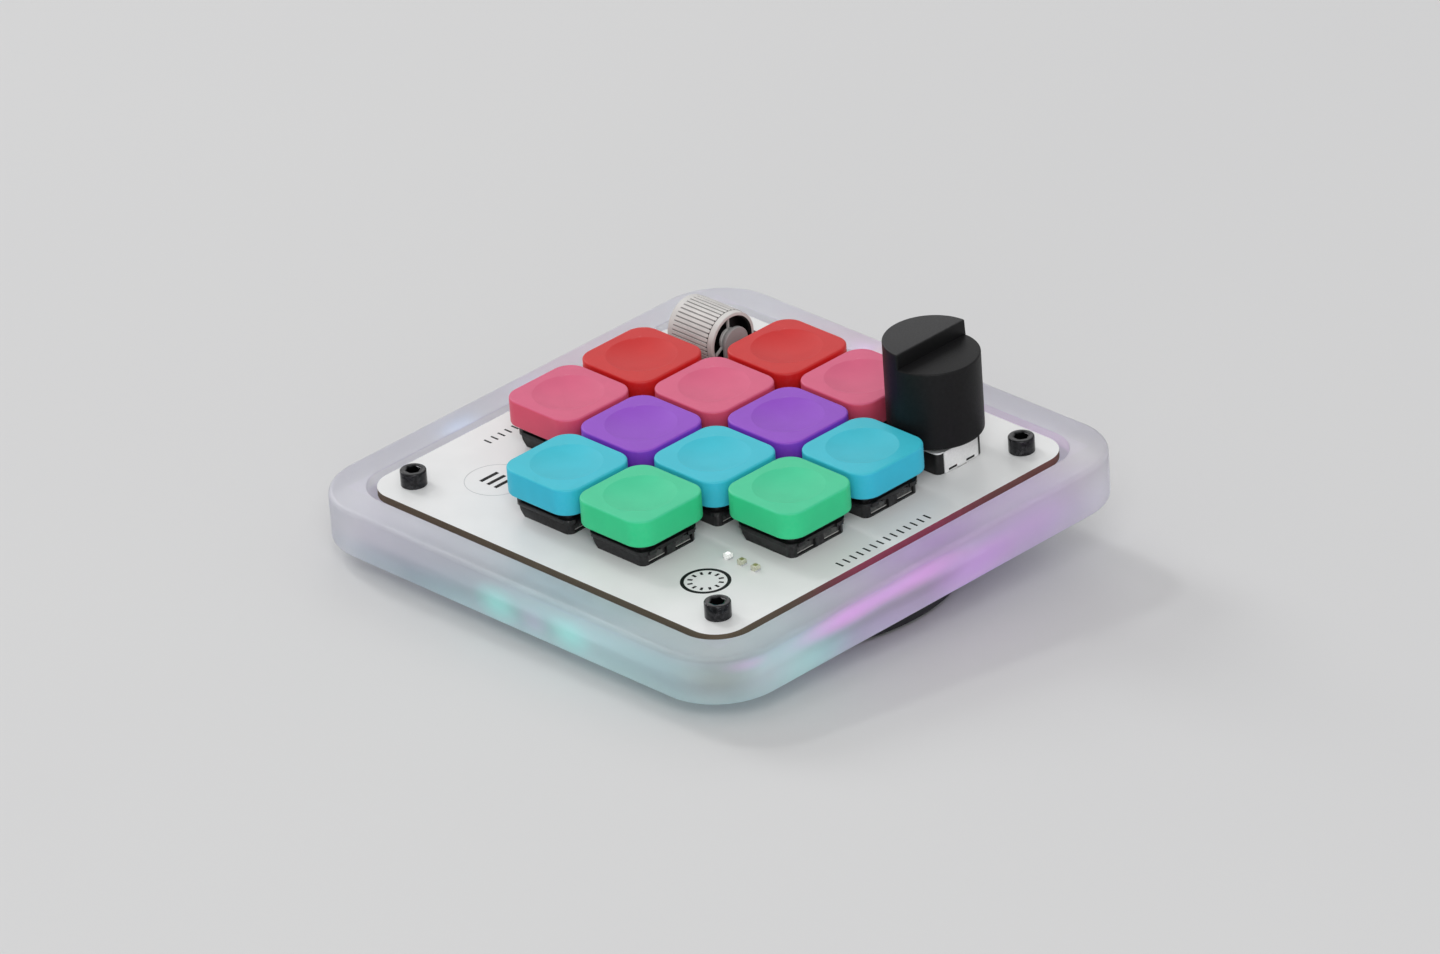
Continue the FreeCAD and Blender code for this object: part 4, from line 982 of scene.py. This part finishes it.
def makeKnob(shape, low, high):
    x0, y0 = (low.x + high.x) / 2, (low.y + high.y) / 2
    radius = (high.x - low.x) / 2
    top = high.z - shape["shy"]
    step = high.z - shape["stepDown"]
    count = shape["segments"]
    quarter = count // 4
    work = bmesh.new()

    def addCircle(z, indexes, r=radius):
        found = {}
        for i in indexes:
            a = 2 * math.pi * i / count
            found[i % count] = work.verts.new((x0 + r * math.cos(a), y0 + r * math.sin(a), z))
        return found

    low0 = addCircle(low.z, range(count))
    stepRing = addCircle(step, range(-quarter, quarter + 1))
    topRing = addCircle(top, range(quarter, 3 * quarter + 1))
    hollowLow = addCircle(low.z, range(count), radius - shape["skirt"])
    hollowTop = addCircle(low.z + shape["hollow"], range(count), radius - shape["skirt"])
    for i in range(count):
        j = (i + 1) % count
        work.faces.new((low0[i], hollowLow[i], hollowLow[j], low0[j]))
        work.faces.new((hollowLow[i], hollowTop[i], hollowTop[j], hollowLow[j]))
        if i in topRing and j in topRing:
            corners = [low0[i], low0[j], topRing[j], topRing[i]]
            if j == 3 * quarter:
                corners.insert(2, stepRing[j])
            if i == quarter:
                corners.append(stepRing[i])
            work.faces.new(corners)
        else:
            work.faces.new((low0[i], low0[j], stepRing[j], stepRing[i]))
    work.faces.new([stepRing[i % count] for i in range(-quarter, quarter + 1)])
    work.faces.new([topRing[i] for i in range(quarter, 3 * quarter + 1)])
    work.faces.new((stepRing[3 * quarter], stepRing[quarter], topRing[quarter], topRing[3 * quarter]))
    work.faces.new([hollowTop[i] for i in range(count)])
    bmesh.ops.recalc_face_normals(work, faces=work.faces)
    limit = math.radians(shape["sharp"])
    hard = [e for e in work.edges if e.calc_face_angle(0.0) > limit and e.is_convex]
    lower = [e for e in hard if all(v in low0.values() for v in e.verts)]
    bmesh.ops.bevel(work, geom=lower, offset=shape["lowRound"], segments=shape["lowSteps"], profile=0.5,
                    affect="EDGES")
    upper = [e for e in work.edges if e.calc_face_angle(0.0) > limit and e.is_convex
             and min(v.co.z for v in e.verts) > step - shape["round"]]
    bmesh.ops.bevel(work, geom=upper, offset=shape["round"], segments=shape["roundSteps"], profile=0.5,
                    affect="EDGES")
    # the bevels leave corners and faces in another order at each run
    for parts, placeOf in ((work.verts, lambda v: v.co), (work.faces, lambda f: f.calc_center_median())):
        inOrder = sorted(parts, key=lambda part: placeOf(part).to_tuple(shape["digits"]))
        for i, part in enumerate(inOrder):
            part.index = i
        parts.sort()
    return meshOf(work, "knobShell")


print("knob")
addPiece("knob_shell", makeKnob(knobShape, *boardBox("knob")), knobFinish, "knob", ["knob"])


# Roller: a ribbed drum on a spoked hub, with a black lining inside
def makeDrum(shape, low, high):
    radius, half = (high.z - low.z) / 2, (high.x - low.x) / 2
    edge, bore = shape["edge"], shape["bore"]
    band = radius - shape["bandDrop"]
    floor = radius - shape["grooveDeep"]
    ribbed = half - shape["band"]
    webTop = -half + shape["webInset"] + shape["web"]
    webFoot = webTop - shape["web"]
    profile = [(bore, webTop), (bore, half - edge), (bore + edge, half), (band - edge, half),
               (band, half - edge), (band, ribbed + edge / 2), (floor, ribbed), (floor, -ribbed),
               (band, -ribbed - edge / 2), (band, -half + edge), (band - edge, -half), (bore + edge, -half),
               (bore, -half + edge), (bore, webFoot)]
    core = turned("drumCore", profile, shape["segments"], start=(0, 0, webTop), end=(0, 0, webFoot))
    rib = 2 * math.pi * radius / shape["ribs"] - shape["grooveWide"]
    pad = blockMesh("ribPad", (-shape["grooveDeep"] - edge, -rib / 2, -ribbed), (0.0, rib / 2, ribbed),
                    shape["grooveDeep"] / 4, 1)
    whole = runTree("ribbedDrum", core, roundTree, pad, {
        "Count": shape["ribs"], "Radius": radius, "Finish": rollerFinish})
    return lyingAlongX(whole, (low + high) / 2)


def makeWheel(shape, low, high):
    # the hub and its spokes, which stand in the drum's open end
    half, edge, hub = (high.x - low.x) / 2, shape["edge"], shape["hub"]
    hubEnd, webTop = half - shape["hubInset"], -half + shape["webInset"] + shape["web"]
    profile = [(hub - edge, hubEnd), (hub, hubEnd - edge), (hub, webTop - edge)]
    core = turned("wheelHub", profile, shape["hubSegments"], start=(0, 0, hubEnd), end=(0, 0, webTop - edge))
    reach, thick = shape["bore"] + edge / 2, shape["spokeThick"] / 2
    spoke = blockMesh("spoke", (hub - 2 * edge - reach, -thick, hubEnd - shape["spokeLong"]),
                      (0.0, thick, hubEnd), edge / 2, 2)
    # half a turn about X brings the first spoke up
    whole = runTree("wheel", core, roundTree, spoke, {
        "Count": shape["spokes"], "Radius": reach, "Lean": Euler((0.0, 0.0, math.pi)), "Finish": spokeFinish})
    return lyingAlongX(whole, (low + high) / 2)


def makeLining(shape, low, high):
    # the black encoder body that lines the drum behind the spokes
    half, thick = (high.x - low.x) / 2, shape["lining"]
    back = -half + shape["webInset"] + shape["web"]
    floor = half - shape["liningDeep"]
    outer, inner = shape["bore"] - thick / 4, shape["hub"] + thick / 4
    front, hubFront = half - 2 * thick, half - shape["hubInset"] - shape["spokeLong"]
    profile = [(inner, back + thick), (outer, back + thick), (outer, front), (outer - thick, front),
               (outer - thick, floor), (inner + thick, floor), (inner + thick, hubFront), (inner, hubFront)]
    ring = turned("lining", profile, shape["liningSegments"], joined=True)
    return lyingAlongX(ring, (low + high) / 2)


print("roller")
drumCorners = boardBox("roller_drum")
addPiece("roller_ribbed", makeDrum(drumShape, *drumCorners), rollerFinish, "roller", ["roller_drum"])
addPiece("roller_wheel", makeWheel(drumShape, *drumCorners), spokeFinish, "roller")
addPiece("roller_lining", makeLining(drumShape, *drumCorners), mouldingFinish, "roller")
softenedPiece("roller_holder", "roller_arm", "roller_carrier")
softenedPiece("roller_cradle", "roller_frame", "base")


# Screws: socket heads, all from one turned head
screwShape = {"head": 2.48, "headHigh": 3.1, "round": 0.28, "flats": 2.5, "socketDeep": 1.6, "lead": 0.12,
              "shank": 1.5, "shankLead": 0.2, "headLead": 0.08, "cone": 0.4, "points": 48}


def makeScrewHead(shape, depth):
    count = shape["points"]

    def hexRing(apothem, z):
        points = []
        for i in range(count):
            a = 2 * math.pi * i / count
            r = apothem / math.cos(a % (math.pi / 3) - math.pi / 6)
            points.append(Vector((r * math.cos(a), r * math.sin(a), z)))
        return points

    top, apothem, lead = shape["headHigh"], shape["flats"] / 2, shape["lead"]
    shank, head, tip, under = shape["shank"], shape["head"], shape["shankLead"], shape["headLead"]
    rings = [circleRing(r, z, count) for r, z in (
        (shank - tip, -depth), (shank, -depth + tip), (shank, 0.0), (head - under, 0.0), (head, under))]
    for inwards, upwards in quarterRound(shape["round"]):
        rings.append(circleRing(head - inwards, top - shape["round"] + upwards, count))
    socketFloor = top - shape["socketDeep"]
    rings += [circleRing(apothem / math.cos(math.pi / 6) + lead, top, count), hexRing(apothem, top - lead),
              hexRing(apothem, socketFloor)]
    return skinRings("screw", rings, start=(0, 0, -depth), end=(0, 0, socketFloor - shape["cone"]))


print("screws")
screwLow, screwHigh = boardBox("case_screws")
screwReach = screwHigh.x - screwShape["head"]
screwSpots = [(sx * screwReach, sy * screwReach, 0.0) for sx in (-1, 1) for sy in (-1, 1)]
screwMesh = runTree("screws", pointMesh("screwSpots", screwSpots), pointsTree,
                    makeScrewHead(screwShape, -screwLow.z), {"Finish": screwFinish})
addPiece("case_screw_set", screwMesh, screwFinish, "base", ["case_screws"])

print("switches")
softenedPiece("switch_tubs", "switch_bases", "base")
softenedPiece("switch_lids", "switch_covers", "base")

# Return springs, one for each key, each with a mesh of its own
springShape = {"turns": 5.0, "radius": 1.6, "wire": 0.11, "steps": 32, "sides": 8, "spare": 0.02}


def makeSprings(shape):
    low, high = (corner.z for corner in boardBox("switch_springs"))
    coil = runTree("spring", pointMesh("springFoot", []), coilTree, None, {
        "Turns": shape["turns"], "Radius": shape["radius"], "Wire": shape["wire"], "Steps": shape["steps"],
        "Sides": shape["sides"],
        "Height": high - low - 2 * shape["wire"], "Finish": springFinish})
    replaced = ["switch_springs"]
    for place, (capLow, capHigh) in capCorners.items():
        foot = Vector(((capLow.x + capHigh.x) / 2, (capLow.y + capHigh.y) / 2, low))
        mesh = outwards(coil.copy())
        mesh.transform(Matrix.Translation(foot + Vector((0.0, 0.0, shape["wire"]))))
        spring = addPiece("spring_" + place, mesh, springFinish, "base", replaced)
        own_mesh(spring)
        replaced = ()
    bpy.data.meshes.remove(coil)


makeSprings(springShape)

# Encoder: the black base latches into slots of its bright cover
latchShape = {"place": 2.3, "wide": 2.12, "low": 0.33, "high": 0.79, "deep": 0.5, "shy": 0.03, "soften": 0.04}


def makeLatches(shape, low, high):
    middle = (low + high) / 2
    latch = blockMesh("latch", (-shape["deep"] / 2, -shape["wide"] / 2, shape["low"]),
                      (shape["deep"] / 2, shape["wide"] / 2, shape["high"]), shape["soften"])
    reach = (high.x - low.x) / 2 - shape["shy"] - shape["deep"] / 2
    spots = [(middle.x + sx * reach, middle.y + sy * shape["place"], 0.0) for sx in (-1, 1) for sy in (-1, 1)]
    return runTree("latches", pointMesh("latchSpots", spots), pointsTree, latch, {"Finish": mouldingFinish})


print("encoder")
addPiece("encoder_latches", makeLatches(latchShape, *boardBox("encoder_cover")), mouldingFinish, "base")
softenedPiece("encoder_body", "encoder_base", "base")
softenedPiece("encoder_plate", "encoder_cover", "base")

print("foot")
softenedPiece("foot_body", "foot_wedge", "base")
softenedPiece("foot_sole", "foot_pad", "base")


# Indicator lamps: a pale cup with bright end pads and a gel window on top, the first one lit
lampShape = {"count": 3, "step": 3.5, "padLong": 0.24, "padHigh": 0.3, "cupDrop": 0.06, "gelInset": 0.3,
             "gelDeep": 0.2, "soften": 0.06}


def makeLampPart(shape, low, high, kind):
    # drawn round the middle of the first lamp
    long, deep = (high.x - low.x - (shape["count"] - 1) * shape["step"]) / 2, (high.y - low.y) / 2
    tall, pad, soften = high.z - low.z, shape["padLong"], shape["soften"]
    cupTop = tall - shape["cupDrop"]
    if kind == "cup":
        return blockMesh("lampCup", (-long + soften, -deep, 0.0), (long - soften, deep, cupTop), soften)
    if kind == "pads":
        pads = [blockMesh("lampPad", (x - pad / 2, -deep - soften / 2, 0.0),
                          (x + pad / 2, deep + soften / 2, shape["padHigh"]), soften / 2)
                for x in (-long + pad / 2, long - pad / 2)]
        return joinMeshes("lampPads", pads)
    reach, across = long - shape["gelInset"], deep - shape["gelInset"]
    return blockMesh("lampGel", (-reach, -across, cupTop - shape["gelDeep"]), (reach, across, tall), soften)


print("lamps")
lampLow, lampHigh = boardBox("indicator_leds")
lampFirst = Vector(((lampLow.x + lampHigh.x - (lampShape["count"] - 1) * lampShape["step"]) / 2,
                    (lampLow.y + lampHigh.y) / 2, 0.0))
lampSpots = [lampFirst + Vector((i * lampShape["step"], 0.0, 0.0)) for i in range(lampShape["count"])]
for name, kind, spots, finish, replaced in (
        ("lamp_cup_lit", "cup", lampSpots[:1], lampCupFinish, ["indicator_leds"]),
        ("lamp_cups", "cup", lampSpots[1:], lampBodyFinish, ()),
        ("lamp_pads", "pads", lampSpots, steelFinish, ()),
        ("lamp_gel_lit", "gel", lampSpots[:1], lampOnFinish, ()),
        ("lamp_gels", "gel", lampSpots[1:], lampOffFinish, ())):
    mesh = runTree(name, pointMesh(name, spots), pointsTree,
                   makeLampPart(lampShape, lampLow, lampHigh, kind), {"Finish": finish})
    addPiece(name, mesh, finish, "base", replaced)


# Printed marks: a dial ring with ticks, a faint ring round three bars, and two scales of ticks
markShape = {"proud": 0.03, "sunk": 0.02, "segments": 96,
             "dialPlace": (28.7, -31.9), "dialRadius": 4.65, "dialLine": 0.7, "dialTicks": 12,
             "dialTickLong": 0.95, "dialTickWide": 0.5, "dialGap": 0.55,
             "faintPlace": (-28.6, -29.0), "faintRadius": 6.0, "faintLine": 0.14,
             "barLong": 4.4, "barWide": 0.8, "barStep": 1.9,
             "tickLong": 1.9, "tickWide": 0.4, "tickStep": 1.75,
             "rightScale": (43.4, -12.4, 14), "leftScale": (-40.6, -19.6, 7)}


def markBlock(shape, x, y, wide, deep):
    return blockMesh("mark", (x - wide / 2, y - deep / 2, -shape["sunk"]),
                     (x + wide / 2, y + deep / 2, shape["proud"]), shape["proud"] / 3, 1)


def markRing(shape, place, radius, line):
    low, high = -shape["sunk"], shape["proud"]
    profile = ((radius, low), (radius, high), (radius - line, high), (radius - line, low))
    return turned("markRing", profile, shape["segments"], place, joined=True)


def makeMarks(shape):
    dialX, dialY = shape["dialPlace"]
    tick = markBlock(shape, 0.0, 0.0, shape["dialTickLong"], shape["dialTickWide"])
    reach = shape["dialRadius"] - shape["dialLine"] - shape["dialGap"] - shape["dialTickLong"] / 2
    ring = markRing(shape, shape["dialPlace"], shape["dialRadius"], shape["dialLine"])
    dial = runTree("dial", ring, roundTree, tick, {"Count": shape["dialTicks"], "Radius": reach,
                                                   "Middle": (dialX, dialY, 0.0), "Finish": inkFinish})
    faintX, faintY = shape["faintPlace"]
    spots = [(faintX + i * shape["barStep"], faintY, 0.0) for i in (-1, 0, 1)]
    bars = runTree("bars", pointMesh("barSpots", spots), pointsTree,
                   markBlock(shape, 0.0, 0.0, shape["barWide"], shape["barLong"]), {"Finish": inkFinish})
    ticks = []
    for x, y, count in (shape["rightScale"], shape["leftScale"]):
        ticks += [(x, y + i * shape["tickStep"], 0.0) for i in range(count)]
    scales = runTree("scales", pointMesh("tickSpots", ticks), pointsTree,
                     markBlock(shape, 0.0, 0.0, shape["tickLong"], shape["tickWide"]), {"Finish": inkFinish})
    return joinMeshes("marks", [dial, bars, scales])


print("marks")
addPiece("board_marks", makeMarks(markShape), inkFinish, "base")
addPiece("board_faint_ring", markRing(markShape, markShape["faintPlace"], markShape["faintRadius"],
                                      markShape["faintLine"]), paleInkFinish, "base")

setCamera(viewPlan)
setLight(lightPlan)


floorLook = {"rough": 0.9, "specular": 0.1, "noise": (0.004, 2.0), "tone": tone(208, 208, 209),
             "pale": tone(212, 212, 212), "size": 30.0}


def makeFloor(look):
    finish, tree, shader, onBoard = newFinish("studioFloor", {
        "Roughness": look["rough"], "Specular IOR Level": look["specular"]})
    cloud = noise(tree, onBoard, *look["noise"])
    tree.links.new(mixTone(tree, cloud, look["tone"], look["pale"]), shader.inputs["Base Color"])
    bpy.ops.mesh.primitive_plane_add(size=look["size"])
    floor = bpy.context.object
    floor.name = "studioFloor"
    floor.data.materials.append(finish)


makeFloor(floorLook)
